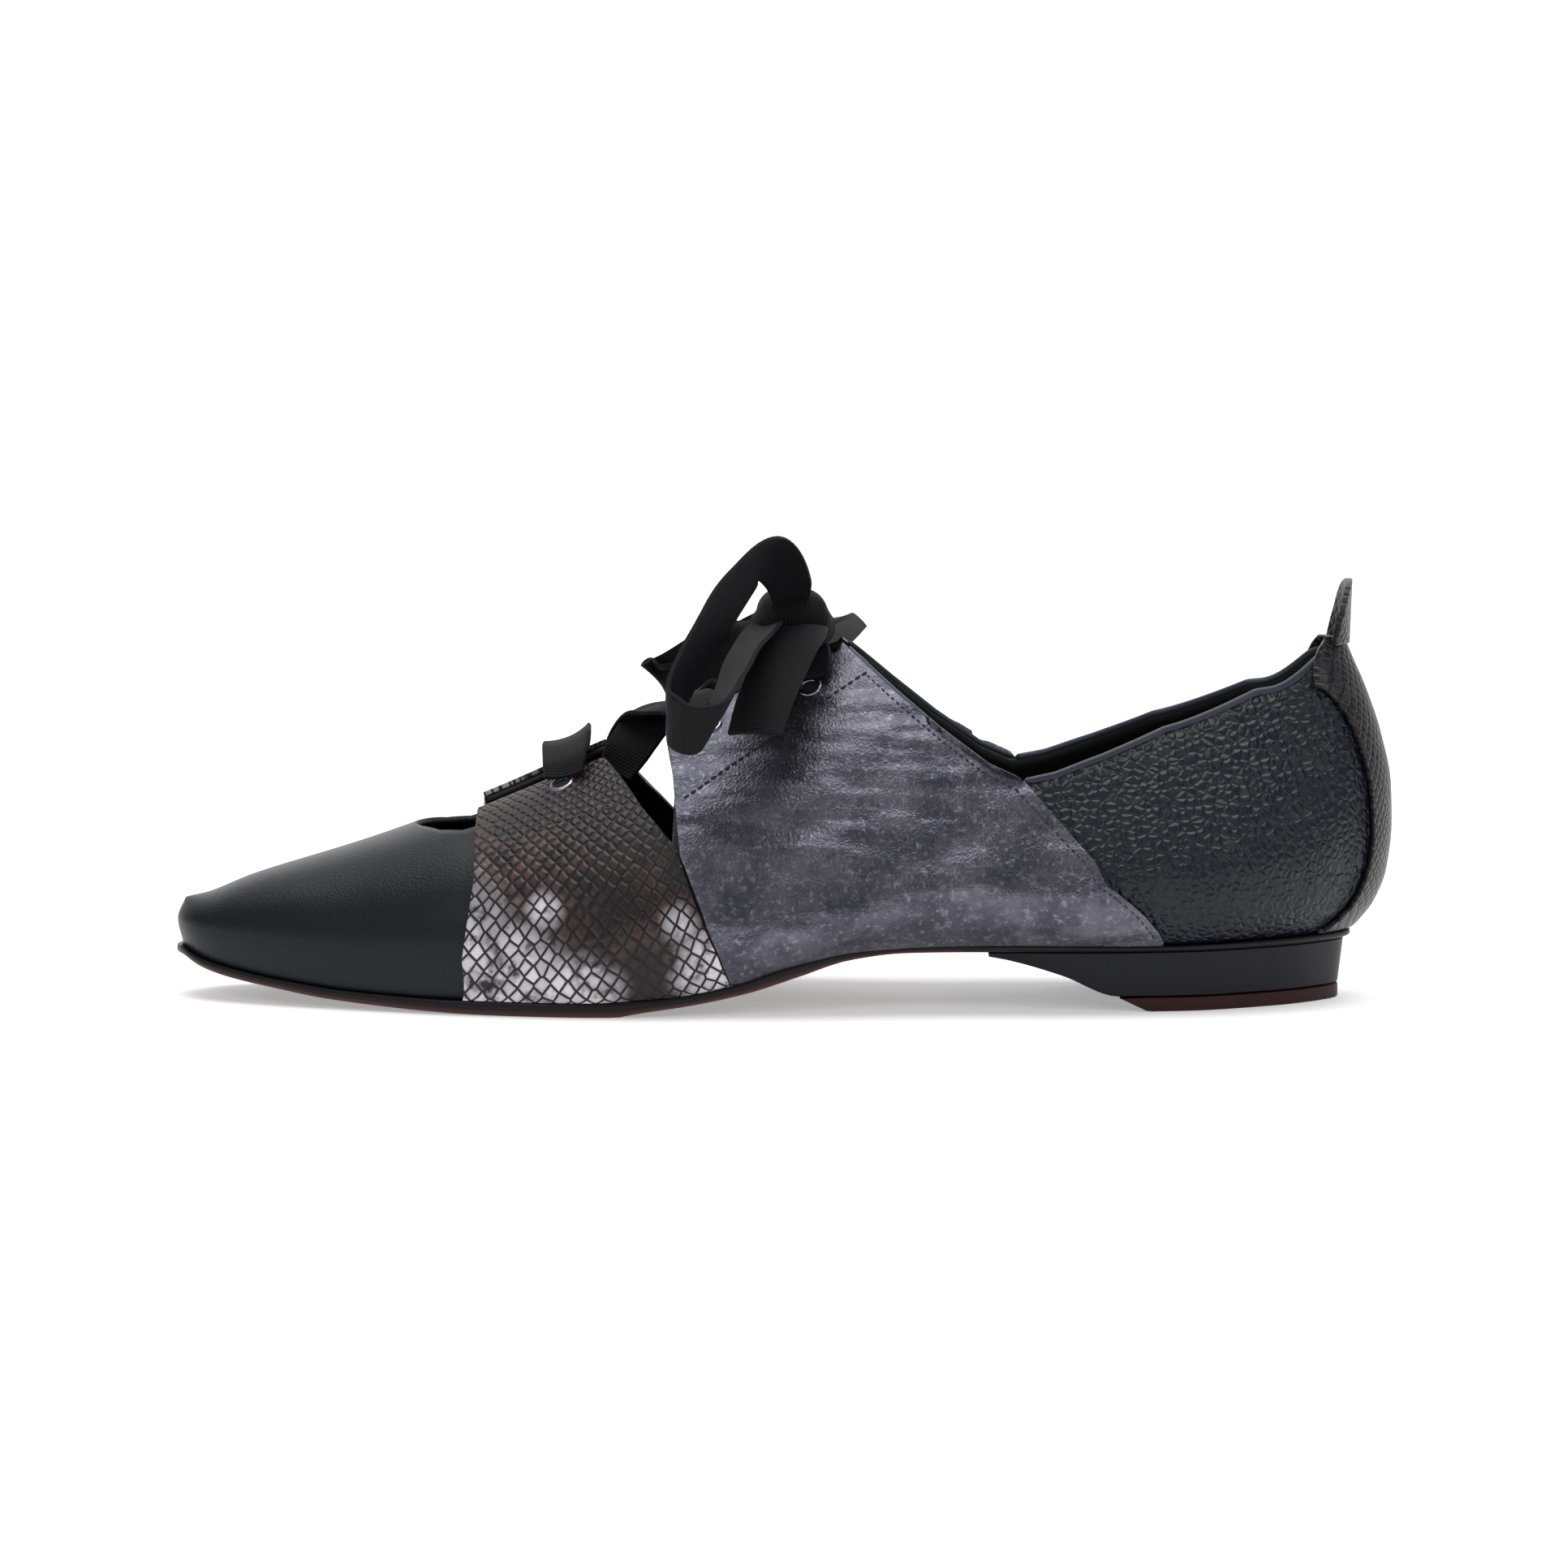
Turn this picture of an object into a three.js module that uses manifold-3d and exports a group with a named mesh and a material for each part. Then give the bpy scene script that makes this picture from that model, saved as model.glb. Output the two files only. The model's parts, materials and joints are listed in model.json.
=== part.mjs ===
import * as THREE from "three";
import { mergeVertices } from "three/addons/utils/BufferGeometryUtils.js";
import Module from "manifold-3d";

// Flat lace-up shoe, left foot. Millimetres: toe towards -X, outer side towards -Y, up +Z.

// Driving sizes
const SHOE_LENGTH = 262;
const BALL_WIDTH = 80;
const INSTEP_HEIGHT = 75;
const HEEL_HEIGHT = 14.6;

// Leather and sole
const UPPER_WALL = 1.6;
const PIECE_GAP = 0.3;
const OVERLAY_THICKNESS = 1.0;
const OVERLAY_TOP = PIECE_GAP + OVERLAY_THICKNESS;
const SOLE_EDGE = 1.4;
const SOLE_BEVEL = 1.6;
const INSOLE_THICKNESS = 2.4;
const TOP_LIFT_THICKNESS = 3.0;

// Heel block and back strip
const HEEL_START = 43;
const HEEL_LIFT_START = 71.2;
const HEEL_LIFT_SLANT = 6.2;
const HEEL_TAPER = 1.2;
const STRIP_WIDTH = 24;
const TAB_WIDTH = 19;
const TAB_TOP = 90.3;
const TAB_THICKNESS = 1.2;

// Ribbon lace and eyelets
const RIBBON_WIDTH = 12.5;
const RIBBON_THICKNESS = 0.9;
const EYELET_HOLE = 1.7;
const EYELET_RADIUS = 2.7;
const EYELET_BARREL = 1.3;

// Mesh steps
const LENGTH_STEPS = 35;
const WRAP_STEPS = 3;
const CROWN_STEPS = 9;
const ROUND_STEPS = 10;
const WRAP_ANGLE = 1.15;
const BEYOND = 200;

// The last from toe to heel, rows evenly spaced in the station angle. Widths, tucks and lean
// are shares of the ball width, girth line and ridge are shares of the instep height.
const LAST_ROWS = [
  { inner: 0.0625, outer: -0.0625, innerTuck: 0, outerTuck: 0, girth: 0.2213, ridge: 0.2773, lean: 0.0625, full: 0.6 },
  { inner: 0.1962, outer: 0.0738, innerTuck: 0.0125, outerTuck: 0.0125, girth: 0.2133, ridge: 0.292, lean: 0.0613, full: 0.6 },
  { inner: 0.2975, outer: 0.1862, innerTuck: 0.0187, outerTuck: 0.0187, girth: 0.2067, ridge: 0.3547, lean: 0.06, full: 0.6 },
  { inner: 0.4012, outer: 0.3087, innerTuck: 0.025, outerTuck: 0.025, girth: 0.2, ridge: 0.4347, lean: 0.0563, full: 0.58 },
  { inner: 0.495, outer: 0.4325, innerTuck: 0.0312, outerTuck: 0.0312, girth: 0.2133, ridge: 0.5573, lean: 0.05, full: 0.55 },
  { inner: 0.49, outer: 0.505, innerTuck: 0.04, outerTuck: 0.04, girth: 0.24, ridge: 0.736, lean: 0.0625, full: 0.5 },
  { inner: 0.4487, outer: 0.475, innerTuck: 0.1125, outerTuck: 0.0625, girth: 0.2933, ridge: 0.928, lean: 0.115, full: 0.42 },
  { inner: 0.4025, outer: 0.4412, innerTuck: 0.1437, outerTuck: 0.1, girth: 0.36, ridge: 1.12, lean: 0.1512, full: 0.33 },
  { inner: 0.425, outer: 0.4475, innerTuck: 0.0875, outerTuck: 0.0875, girth: 0.3733, ridge: 1.16, lean: 0.0663, full: 0.24 },
  { inner: 0.4025, outer: 0.41, innerTuck: 0.0688, outerTuck: 0.0688, girth: 0.4, ridge: 1.12, lean: 0.0387, full: 0.22 },
  { inner: 0.3025, outer: 0.295, innerTuck: 0.0625, outerTuck: 0.0625, girth: 0.4533, ridge: 1.12, lean: 0.0163, full: 0.26 },
  { inner: 0.1575, outer: 0.1425, innerTuck: 0.0437, outerTuck: 0.0437, girth: 0.4933, ridge: 1.1333, lean: 0.01, full: 0.62 },
  { inner: 0.0075, outer: -0.0075, innerTuck: 0, outerTuck: 0, girth: 0.5133, ridge: 1.1333, lean: 0.0075, full: 0.62 },
].map((row, index, all) => ({ station: index / (all.length - 1), ...row }));

// Seat of the upper on the sole: along is a share of the length, rise of the heel height.
const SEAT_ROWS = [
  { along: -0.4962, rise: 0.7534 },
  { along: -0.4847, rise: 0.6575 },
  { along: -0.4733, rise: 0.589 },
  { along: -0.4466, rise: 0.4863 },
  { along: -0.416, rise: 0.3973 },
  { along: -0.3458, rise: 0.2671 },
  { along: -0.2595, rise: 0.2192 },
  { along: -0.1679, rise: 0.2192 },
  { along: -0.0973, rise: 0.2808 },
  { along: -0.0408, rise: 0.4589 },
  { along: 0.0023, rise: 0.7055 },
  { along: 0.0599, rise: 0.9178 },
  { along: 0.1176, rise: 0.9795 },
  { along: 0.1939, rise: 1.0 },
  { along: 0.3053, rise: 0.9795 },
  { along: 0.3855, rise: 1.0 },
  { along: 0.4656, rise: 1.0205 },
];

// Underside of the sole: toe spring, flat tread, arch, then the plate under the heel.
const TREAD_ROWS = [
  { along: -0.4943, rise: 0.6 },
  { along: -0.4794, rise: 0.48 },
  { along: -0.4538, rise: 0.36 },
  { along: -0.416, rise: 0.25 },
  { along: -0.3737, rise: 0.1412 },
  { along: -0.3305, rise: 0.0759 },
  { along: -0.2878, rise: 0.0311 },
  { along: -0.2443, rise: 0.004 },
  { along: -0.2214, rise: 0.0 },
  { along: -0.1374, rise: 0.0 },
  { along: -0.1168, rise: 0.0548 },
  { along: -0.0725, rise: 0.1644 },
  { along: -0.0305, rise: 0.3151 },
  { along: 0.0115, rise: 0.5411 },
  { along: 0.0534, rise: 0.7671 },
  { along: 0.0973, rise: 0.8562 },
  { along: 0.1527, rise: 0.8733 },
  { along: 0.4695, rise: 0.8904 },
];

// Front slope of the heel block under the arch.
const HEEL_BREAST_ROWS = [
  { along: 0.1641, rise: 0.81 },
  { along: 0.1832, rise: 0.747 },
  { along: 0.2252, rise: 0.534 },
  { along: 0.2718, rise: 0.226 },
  { along: 0.3, rise: 0.226 },
  { along: 0.47, rise: 0.226 },
];

// Back of the heel in side view: height is a share of the instep height, back of the length.
const BACK_ROWS = [
  { height: 0.1467, back: 0.4641 },
  { height: 0.1987, back: 0.4618 },
  { height: 0.2293, back: 0.4695 },
  { height: 0.2893, back: 0.4824 },
  { height: 0.38, back: 0.492 },
  { height: 0.5067, back: 0.4958 },
  { height: 0.6133, back: 0.495 },
  { height: 0.768, back: 0.4859 },
  { height: 0.888, back: 0.474 },
  { height: 0.9787, back: 0.4626 },
  { height: 1.0667, back: 0.4523 },
  { height: 1.1467, back: 0.4447 },
];

// Tip of the toe in side view, same shares.
const TIP_ROWS = [
  { height: 0.1467, back: -0.4962 },
  { height: 0.2213, back: -0.5008 },
  { height: 0.2773, back: -0.4946 },
];

// Side-view outlines, as shares of length and instep height.
const TOPLINE = [
  { along: 0.036, up: 1.04 },
  { along: 0.05, up: 1.02 },
  { along: 0.0617, up: 0.974 },
  { along: 0.09, up: 0.888 },
  { along: 0.126, up: 0.787 },
  { along: 0.165, up: 0.69 },
  { along: 0.1905, up: 0.651 },
  { along: 0.22, up: 0.672 },
  { along: 0.26, up: 0.722 },
  { along: 0.3092, up: 0.793 },
  { along: 0.3855, up: 0.893 },
  { along: 0.4504, up: 0.996 },
  { along: 0.54, up: 1.14 },
];
const GAP_WEDGE = [
  { along: -0.083, up: 0.45 },
  { along: -0.146, up: 0.702 },
  { along: -0.146, up: 1.2 },
  { along: -0.096, up: 1.2 },
  { along: -0.096, up: 0.762 },
  { along: -0.0895, up: 0.652 },
];
const BAND_FIELD = [
  { along: -0.2595, up: 0 },
  { along: -0.2481, up: 0.4 },
  { along: -0.23, up: 0.56 },
  { along: -0.19, up: 0.9 },
  { along: -0.146, up: 0.9 },
  { along: -0.146, up: 0.702 },
  { along: -0.086, up: 0.46 },
  { along: -0.0725, up: 0.33 },
  { along: -0.043, up: 0.06 },
  { along: -0.043, up: 0 },
];
const QUARTER_FIELD = [
  { along: -0.0405, up: 0 },
  { along: -0.0405, up: 0.07 },
  { along: -0.0695, up: 0.33 },
  { along: -0.0835, up: 0.45 },
  { along: -0.0895, up: 0.652 },
  { along: -0.096, up: 0.762 },
  { along: -0.096, up: 1.2 },
  { along: 0.08, up: 1.2 },
  { along: 0.18, up: 0.72 },
  { along: 0.195, up: 0.65 },
  { along: 0.306, up: 0.2 },
  { along: 0.306, up: 0 },
];

// Plan outlines of the throat: along is a share of the length, side of the ball width.
const TOE_CUTOUT = [
  { along: -0.249, side: -0.2 },
  { along: -0.262, side: -0.195 },
  { along: -0.281, side: -0.145 },
  { along: -0.297, side: -0.055 },
  { along: -0.304, side: 0.0563 },
  { along: -0.297, side: 0.17 },
  { along: -0.281, side: 0.262 },
  { along: -0.262, side: 0.315 },
  { along: -0.249, side: 0.32 },
];
const THROAT_CHANNEL = [
  { along: -0.255, side: -0.131 },
  { along: -0.255, side: 0.2 },
  { along: -0.146, side: 0.2 },
  { along: -0.096, side: 0.192 },
  { along: 0.0458, side: 0.249 },
  { along: 0.075, side: 0.27 },
  { along: 0.075, side: 0.0 },
  { along: 0.0458, side: 0.0 },
  { along: -0.096, side: -0.05 },
  { along: -0.146, side: -0.131 },
];

// Eyelets in pairs from the toe: along of the length, sides of the ball width.
const EYELET_ROWS = [
  { pair: 1, along: -0.179, outer: -0.185, inner: 0.262 },
  { pair: 2, along: -0.059, outer: -0.125, inner: 0.285 },
  { pair: 3, along: -0.017, outer: -0.108, inner: 0.3 },
  { pair: 4, along: 0.0225, outer: -0.084, inner: 0.335 },
];

// Ribbon courses: along of the length, side of the ball width, up of the instep height; tilt
// turns the ribbon about its course, wide is a share of the ribbon width.
const CROSSING_OUTWARD = [
  { along: -0.138, side: 0.1, up: 0.655, tilt: 10, wide: 0.6 },
  { along: -0.124, side: 0.085, up: 0.74, tilt: 12, wide: 0.85 },
  { along: -0.105, side: 0.04, up: 0.812, tilt: 18, wide: 1 },
  { along: -0.082, side: -0.05, up: 0.85, tilt: 25, wide: 1 },
  { along: -0.062, side: -0.128, up: 0.84, tilt: 25, wide: 0.7 },
];
const CROSSING_INWARD = [
  { along: -0.138, side: -0.03, up: 0.65, tilt: -10, wide: 0.6 },
  { along: -0.124, side: -0.01, up: 0.735, tilt: -12, wide: 0.85 },
  { along: -0.105, side: 0.06, up: 0.812, tilt: -18, wide: 1 },
  { along: -0.08, side: 0.19, up: 0.858, tilt: -25, wide: 1 },
  { along: -0.061, side: 0.29, up: 0.832, tilt: -25, wide: 0.7 },
];
const BAR_FRONT = [
  { along: -0.179, side: -0.196, up: 0.662, tilt: -20, wide: 0.7 },
  { along: -0.179, side: -0.155, up: 0.708, tilt: -22, wide: 0.8 },
  { along: -0.179, side: -0.06, up: 0.745, tilt: -22, wide: 0.86 },
  { along: -0.179, side: 0.04, up: 0.752, tilt: -22, wide: 0.86 },
  { along: -0.179, side: 0.14, up: 0.745, tilt: -22, wide: 0.86 },
  { along: -0.179, side: 0.235, up: 0.71, tilt: -22, wide: 0.8 },
  { along: -0.179, side: 0.276, up: 0.676, tilt: -20, wide: 0.7 },
];
const BAR_BACK = [
  { along: -0.017, side: -0.128, up: 0.883, tilt: -26, wide: 0.75 },
  { along: -0.017, side: -0.06, up: 0.932, tilt: -28, wide: 1 },
  { along: -0.017, side: 0.09, up: 0.96, tilt: -28, wide: 1.05 },
  { along: -0.017, side: 0.25, up: 0.94, tilt: -28, wide: 1 },
  { along: -0.017, side: 0.33, up: 0.885, tilt: -26, wide: 0.75 },
];
const BAR_TOP = [
  { along: 0.026, side: -0.1, up: 0.94, tilt: -15, wide: 0.5 },
  { along: 0.025, side: -0.03, up: 0.99, tilt: -15, wide: 0.55 },
  { along: 0.022, side: 0.08, up: 1.018, tilt: -15, wide: 0.45 },
  { along: 0.024, side: 0.22, up: 1.008, tilt: -15, wide: 0.55 },
  { along: 0.026, side: 0.35, up: 0.935, tilt: -15, wide: 0.5 },
];
const BOW_KNOT = [
  { along: -0.016, side: 0.0625, up: 1.032, tilt: 0, wide: 0.72 },
  { along: -0.013, side: 0.0625, up: 1.1253, tilt: 0, wide: 0.8 },
  { along: 0.0038, side: 0.0625, up: 1.152, tilt: 0, wide: 0.82 },
  { along: 0.0252, side: 0.0625, up: 1.1307, tilt: 0, wide: 0.8 },
  { along: 0.0336, side: 0.0625, up: 1.0413, tilt: 0, wide: 0.72 },
];
const LOOP_OUTER = [
  { along: 0.0046, side: -0.005, up: 1.1067, tilt: -85, wide: 0.55 },
  { along: 0.0038, side: -0.065, up: 1.1947, tilt: -75, wide: 0.8 },
  { along: -0.013, side: -0.1575, up: 1.2693, tilt: -35, wide: 0.95 },
  { along: -0.0389, side: -0.275, up: 1.1867, tilt: -14, wide: 1 },
  { along: -0.0626, side: -0.4, up: 1.072, tilt: -10, wide: 1 },
  { along: -0.0817, side: -0.525, up: 0.9493, tilt: -6, wide: 1 },
  { along: -0.0893, side: -0.615, up: 0.8667, tilt: 5, wide: 1 },
  { along: -0.074, side: -0.6575, up: 0.832, tilt: 30, wide: 1 },
  { along: -0.0565, side: -0.62, up: 0.848, tilt: 35, wide: 1 },
  { along: -0.0466, side: -0.5, up: 0.9147, tilt: 42, wide: 1 },
  { along: -0.0336, side: -0.3125, up: 1, tilt: 52, wide: 1 },
  { along: -0.0206, side: -0.125, up: 1.0587, tilt: 68, wide: 0.85 },
  { along: -0.013, side: -0.02, up: 1.0773, tilt: 82, wide: 0.6 },
];
const LOOP_INNER = [
  { along: 0.013, side: 0.13, up: 1.12, tilt: 12, wide: 0.6 },
  { along: 0.0053, side: 0.22, up: 1.1147, tilt: -10, wide: 0.85 },
  { along: -0.0214, side: 0.35, up: 1.0667, tilt: -30, wide: 1 },
  { along: -0.0611, side: 0.4675, up: 0.968, tilt: -45, wide: 1 },
  { along: -0.0992, side: 0.5175, up: 0.8907, tilt: -50, wide: 0.9 },
  { along: -0.1038, side: 0.4825, up: 0.8667, tilt: -50, wide: 0.85 },
  { along: -0.0672, side: 0.4225, up: 0.936, tilt: -45, wide: 0.95 },
  { along: -0.0313, side: 0.3075, up: 1.016, tilt: -25, wide: 0.9 },
  { along: -0.0137, side: 0.1625, up: 1.0613, tilt: 0, wide: 0.6 },
];
const END_OUTER = [
  { along: 0.0191, side: -0.0025, up: 1.064, tilt: 0, wide: 0.6 },
  { along: 0.0168, side: -0.1, up: 1.0587, tilt: 0, wide: 0.8 },
  { along: 0.0031, side: -0.22, up: 1.0053, tilt: 5, wide: 0.95 },
  { along: -0.0122, side: -0.355, up: 0.9067, tilt: 10, wide: 1 },
  { along: -0.0229, side: -0.4625, up: 0.8, tilt: 15, wide: 0.95 },
];
const END_INNER = [
  { along: 0.0267, side: 0.1325, up: 1.0667, tilt: 0, wide: 0.55 },
  { along: 0.0321, side: 0.23, up: 1.0747, tilt: 0, wide: 0.8 },
  { along: 0.0382, side: 0.37, up: 1.0587, tilt: -10, wide: 0.85 },
  { along: 0.0443, side: 0.52, up: 1.0213, tilt: -25, wide: 0.9 },
  { along: 0.0519, side: 0.665, up: 0.9653, tilt: -40, wide: 1 },
];

const wasm = await Module();
wasm.setup();

const group = new THREE.Group();

// Smooth curve through table rows that never overshoots them.
function curve(rows, key, field) {
  const last = rows.length - 1;
  const gaps = rows.slice(1).map((row, i) => row[key] - rows[i][key]);
  const rates = gaps.map((gap, i) => (rows[i + 1][field] - rows[i][field]) / gap);
  const slopes = rows.map((row, i) => {
    if (i === 0) return rates[0];
    if (i === last) return rates[last - 1];
    if (rates[i - 1] * rates[i] <= 0) return 0;
    const before = 2 * gaps[i] + gaps[i - 1];
    const after = gaps[i] + 2 * gaps[i - 1];
    return (before + after) / (before / rates[i - 1] + after / rates[i]);
  });
  return (at) => {
    let i = 0;
    while (i < last - 1 && at > rows[i + 1][key]) i += 1;
    const t = Math.min(1, Math.max(0, (at - rows[i][key]) / gaps[i]));
    const start = rows[i][field] * (1 + 2 * t) * (1 - t) ** 2;
    const end = rows[i + 1][field] * t * t * (3 - 2 * t);
    const bend = gaps[i] * t * (1 - t) * (slopes[i] * (1 - t) - slopes[i + 1] * t);
    return start + end + bend;
  };
}

const column = (field) => curve(LAST_ROWS, "station", field);
const last = {
  inner: column("inner"),
  outer: column("outer"),
  innerTuck: column("innerTuck"),
  outerTuck: column("outerTuck"),
  girth: column("girth"),
  ridge: column("ridge"),
  lean: column("lean"),
  full: column("full"),
};
const seatCurve = curve(SEAT_ROWS, "along", "rise");
const treadCurve = curve(TREAD_ROWS, "along", "rise");
const breastCurve = curve(HEEL_BREAST_ROWS, "along", "rise");
const backCurve = curve(BACK_ROWS, "height", "back");
const tipCurve = curve(TIP_ROWS, "height", "back");

const seatHeight = (x) => HEEL_HEIGHT * seatCurve(x / SHOE_LENGTH);
const treadHeight = (x) => HEEL_HEIGHT * treadCurve(x / SHOE_LENGTH);
const breastHeight = (x) => HEEL_HEIGHT * breastCurve(x / SHOE_LENGTH);

// Wide and high are where a level of the section stands: level -1 is the seat, 0 the widest
// line, 1 the ridge.
function sectionShape(full, level) {
  if (level < 0) {
    const angle = -level * WRAP_ANGLE;
    return {
      tuck: (1 - Math.cos(angle)) / (1 - Math.cos(WRAP_ANGLE)),
      drop: Math.sin(angle) / Math.sin(WRAP_ANGLE),
    };
  }
  const t = level;
  const rest = 1 - t;
  return {
    wide: rest ** 3 + 3 * rest * rest * t + 3 * rest * t * t * full,
    high: 3 * rest * rest * t * full + 3 * rest * t * t + t ** 3,
  };
}

// Point of the last's surface: station 0 toe to 1 heel, side 1 inner or -1 outer.
function lastPoint(station, side, level) {
  const girth = INSTEP_HEIGHT * last.girth(station);
  const ridge = INSTEP_HEIGHT * last.ridge(station);
  const tipSeat = SEAT_ROWS[0].rise * HEEL_HEIGHT;
  const backSeat = SEAT_ROWS.at(-1).rise * HEEL_HEIGHT;
  const shape = sectionShape(last.full(station), level);
  const heightAt = (row, foot) => {
    const low = INSTEP_HEIGHT * row.girth;
    if (level < 0) return low - (low - foot) * shape.drop;
    return low + (INSTEP_HEIGHT * row.ridge - low) * sectionShape(row.full, level).high;
  };
  const tip = SHOE_LENGTH * tipCurve(heightAt(LAST_ROWS[0], tipSeat) / INSTEP_HEIGHT);
  const back = SHOE_LENGTH * backCurve(heightAt(LAST_ROWS.at(-1), backSeat) / INSTEP_HEIGHT);
  const x = tip + (back - tip) * (1 - Math.cos(Math.PI * station)) / 2;
  const inner = BALL_WIDTH * last.inner(station);
  const outer = -BALL_WIDTH * last.outer(station);
  if (level < 0) {
    const tuck = BALL_WIDTH * (side > 0 ? last.innerTuck(station) : last.outerTuck(station));
    const edge = side > 0 ? inner - tuck * shape.tuck : outer + tuck * shape.tuck;
    const z = girth - (girth - seatHeight(x)) * shape.drop;
    return new THREE.Vector3(x, edge, z);
  }
  const middle = (inner + outer) / 2;
  const half = (inner - outer) / 2;
  const centre = middle + (BALL_WIDTH * last.lean(station) - middle) * shape.high;
  const z = girth + (ridge - girth) * shape.high;
  return new THREE.Vector3(x, centre + side * half * shape.wide, z);
}

// One ring of points per station: seat of the inner side, over the ridge, seat of the outer.
const LEVELS = [];
for (let i = -WRAP_STEPS; i <= CROWN_STEPS; i += 1) {
  LEVELS.push(i < 0 ? i / WRAP_STEPS : i / CROWN_STEPS);
}
const RING = LEVELS.map((level) => ({ side: 1, level })).concat(
  LEVELS.slice(0, -1).reverse().map((level) => ({ side: -1, level })),
);

const surfaceGrid = [];
for (let i = 0; i <= LENGTH_STEPS; i += 1) {
  surfaceGrid.push(RING.map((spot) => lastPoint(i / LENGTH_STEPS, spot.side, spot.level)));
}

function gridTriangles(rows, columns, flip) {
  const index = [];
  for (let i = 0; i < rows - 1; i += 1) {
    for (let j = 0; j < columns - 1; j += 1) {
      const a = i * columns + j;
      const b = a + columns;
      if (flip) index.push(a, b, a + 1, a + 1, b, b + 1);
      else index.push(a, a + 1, b, a + 1, b + 1, b);
    }
  }
  return index;
}

// Outward directions of the surface; level at the seat so that offsets stay on the sole.
function surfaceNormals(grid) {
  const geometry = new THREE.BufferGeometry();
  geometry.setAttribute("position", new THREE.BufferAttribute(
    new Float32Array(grid.flat().flatMap((p) => [p.x, p.y, p.z])), 3));
  geometry.setIndex(gridTriangles(grid.length, RING.length, false));
  const one = new THREE.Vector3();
  const sums = new Map();
  const keyOf = (p) => `${p.x.toFixed(3)},${p.y.toFixed(3)},${p.z.toFixed(3)}`;
  geometry.computeVertexNormals();
  const normals = geometry.getAttribute("normal");
  grid.flat().forEach((p, i) => {
    const key = keyOf(p);
    const sum = sums.get(key) ?? new THREE.Vector3();
    sums.set(key, sum.add(one.fromBufferAttribute(normals, i)));
  });
  return grid.map((ring) => ring.map((p, j) => {
    const normal = sums.get(keyOf(p)).clone();
    if (j === 0 || j === ring.length - 1) normal.z = 0;
    return normal.normalize();
  }));
}

const outward = surfaceNormals(surfaceGrid);
const offsetGrid = (distance) => surfaceGrid.map((ring, i) => ring.map((p, j) => (
  p.clone().addScaledVector(outward[i][j], distance))));

// Closed shell between two offsets of the surface, open underneath inside its seat ring.
function shellBetween(from, to) {
  const inside = offsetGrid(from);
  const outside = offsetGrid(to);
  const rows = surfaceGrid.length;
  const columns = RING.length;
  const points = outside.flat().concat(inside.flat());
  const shift = rows * columns;
  const index = gridTriangles(rows, columns, false);
  gridTriangles(rows, columns, true).forEach((i) => index.push(i + shift));
  for (let i = 0; i < rows - 1; i += 1) {
    [0, columns - 1].forEach((j) => {
      const a = i * columns + j;
      const b = a + columns;
      const quad = [a, a + shift, b, b, a + shift, b + shift];
      if (j === 0) quad.reverse();
      index.push(...quad);
    });
  }
  return solidOf(points, index);
}

function solidOf(points, index) {
  const geometry = new THREE.BufferGeometry();
  geometry.setAttribute("position", new THREE.BufferAttribute(
    new Float32Array(points.flatMap((p) => [p.x, p.y, p.z])), 3));
  geometry.setIndex(index);
  return toManifold(geometry);
}

function toManifold(geometry) {
  const plain = geometry.clone();
  plain.deleteAttribute("normal");
  plain.deleteAttribute("uv");
  const merged = mergeVertices(plain, 1e-4);
  const order = merged.getIndex().array;
  const kept = [];
  for (let i = 0; i < order.length; i += 3) {
    const [a, b, c] = [order[i], order[i + 1], order[i + 2]];
    if (a !== b && b !== c && c !== a) kept.push(a, b, c);
  }
  return new wasm.Manifold(new wasm.Mesh({
    numProp: 3,
    vertProperties: new Float32Array(merged.getAttribute("position").array),
    triVerts: new Uint32Array(kept),
  }));
}

// Prism of a side-view outline, run across the foot from one side to the other.
function sidePrism(outline, fromY, toY) {
  const shape = new THREE.Shape(outline.map((row) => (
    new THREE.Vector2(row.along * SHOE_LENGTH, row.up * INSTEP_HEIGHT))));
  const geometry = new THREE.ExtrudeGeometry(shape, { depth: toY - fromY, bevelEnabled: false });
  geometry.rotateX(Math.PI / 2);
  geometry.translate(0, toY, 0);
  return toManifold(geometry);
}

// Prism of a plan outline, run upwards.
function planPrism(outline, fromZ, toZ) {
  const shape = new THREE.Shape(outline.map((row) => (
    new THREE.Vector2(row.along * SHOE_LENGTH, row.side * BALL_WIDTH))));
  const geometry = new THREE.ExtrudeGeometry(shape, { depth: toZ - fromZ, bevelEnabled: false });
  geometry.translate(0, 0, fromZ);
  return toManifold(geometry);
}

function addNode(name, solid, colour, roughness, metalness) {
  const mesh = solid.getMesh();
  const geometry = new THREE.BufferGeometry();
  const points = new Float32Array((mesh.vertProperties.length / mesh.numProp) * 3);
  for (let i = 0; i < points.length / 3; i += 1) {
    for (let k = 0; k < 3; k += 1) points[i * 3 + k] = mesh.vertProperties[i * mesh.numProp + k];
  }
  geometry.setAttribute("position", new THREE.BufferAttribute(points, 3));
  geometry.setIndex(new THREE.BufferAttribute(new Uint32Array(mesh.triVerts), 1));
  geometry.computeVertexNormals();
  const material = new THREE.MeshStandardMaterial({ color: colour, roughness, metalness });
  const node = new THREE.Mesh(geometry, material);
  node.name = name;
  group.add(node);
}

// Cutters of the upper
const toplineCut = sidePrism(
  TOPLINE.concat([{ along: 0.54, up: 2 }, { along: 0.036, up: 2 }]), -BEYOND, BEYOND);
const gapCut = sidePrism(GAP_WEDGE, -BEYOND, BEYOND);
const channelCut = planPrism(THROAT_CHANNEL, INSTEP_HEIGHT / 3, BEYOND);
const cutoutCut = planPrism(TOE_CUTOUT, INSTEP_HEIGHT / 4, BEYOND);

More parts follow.
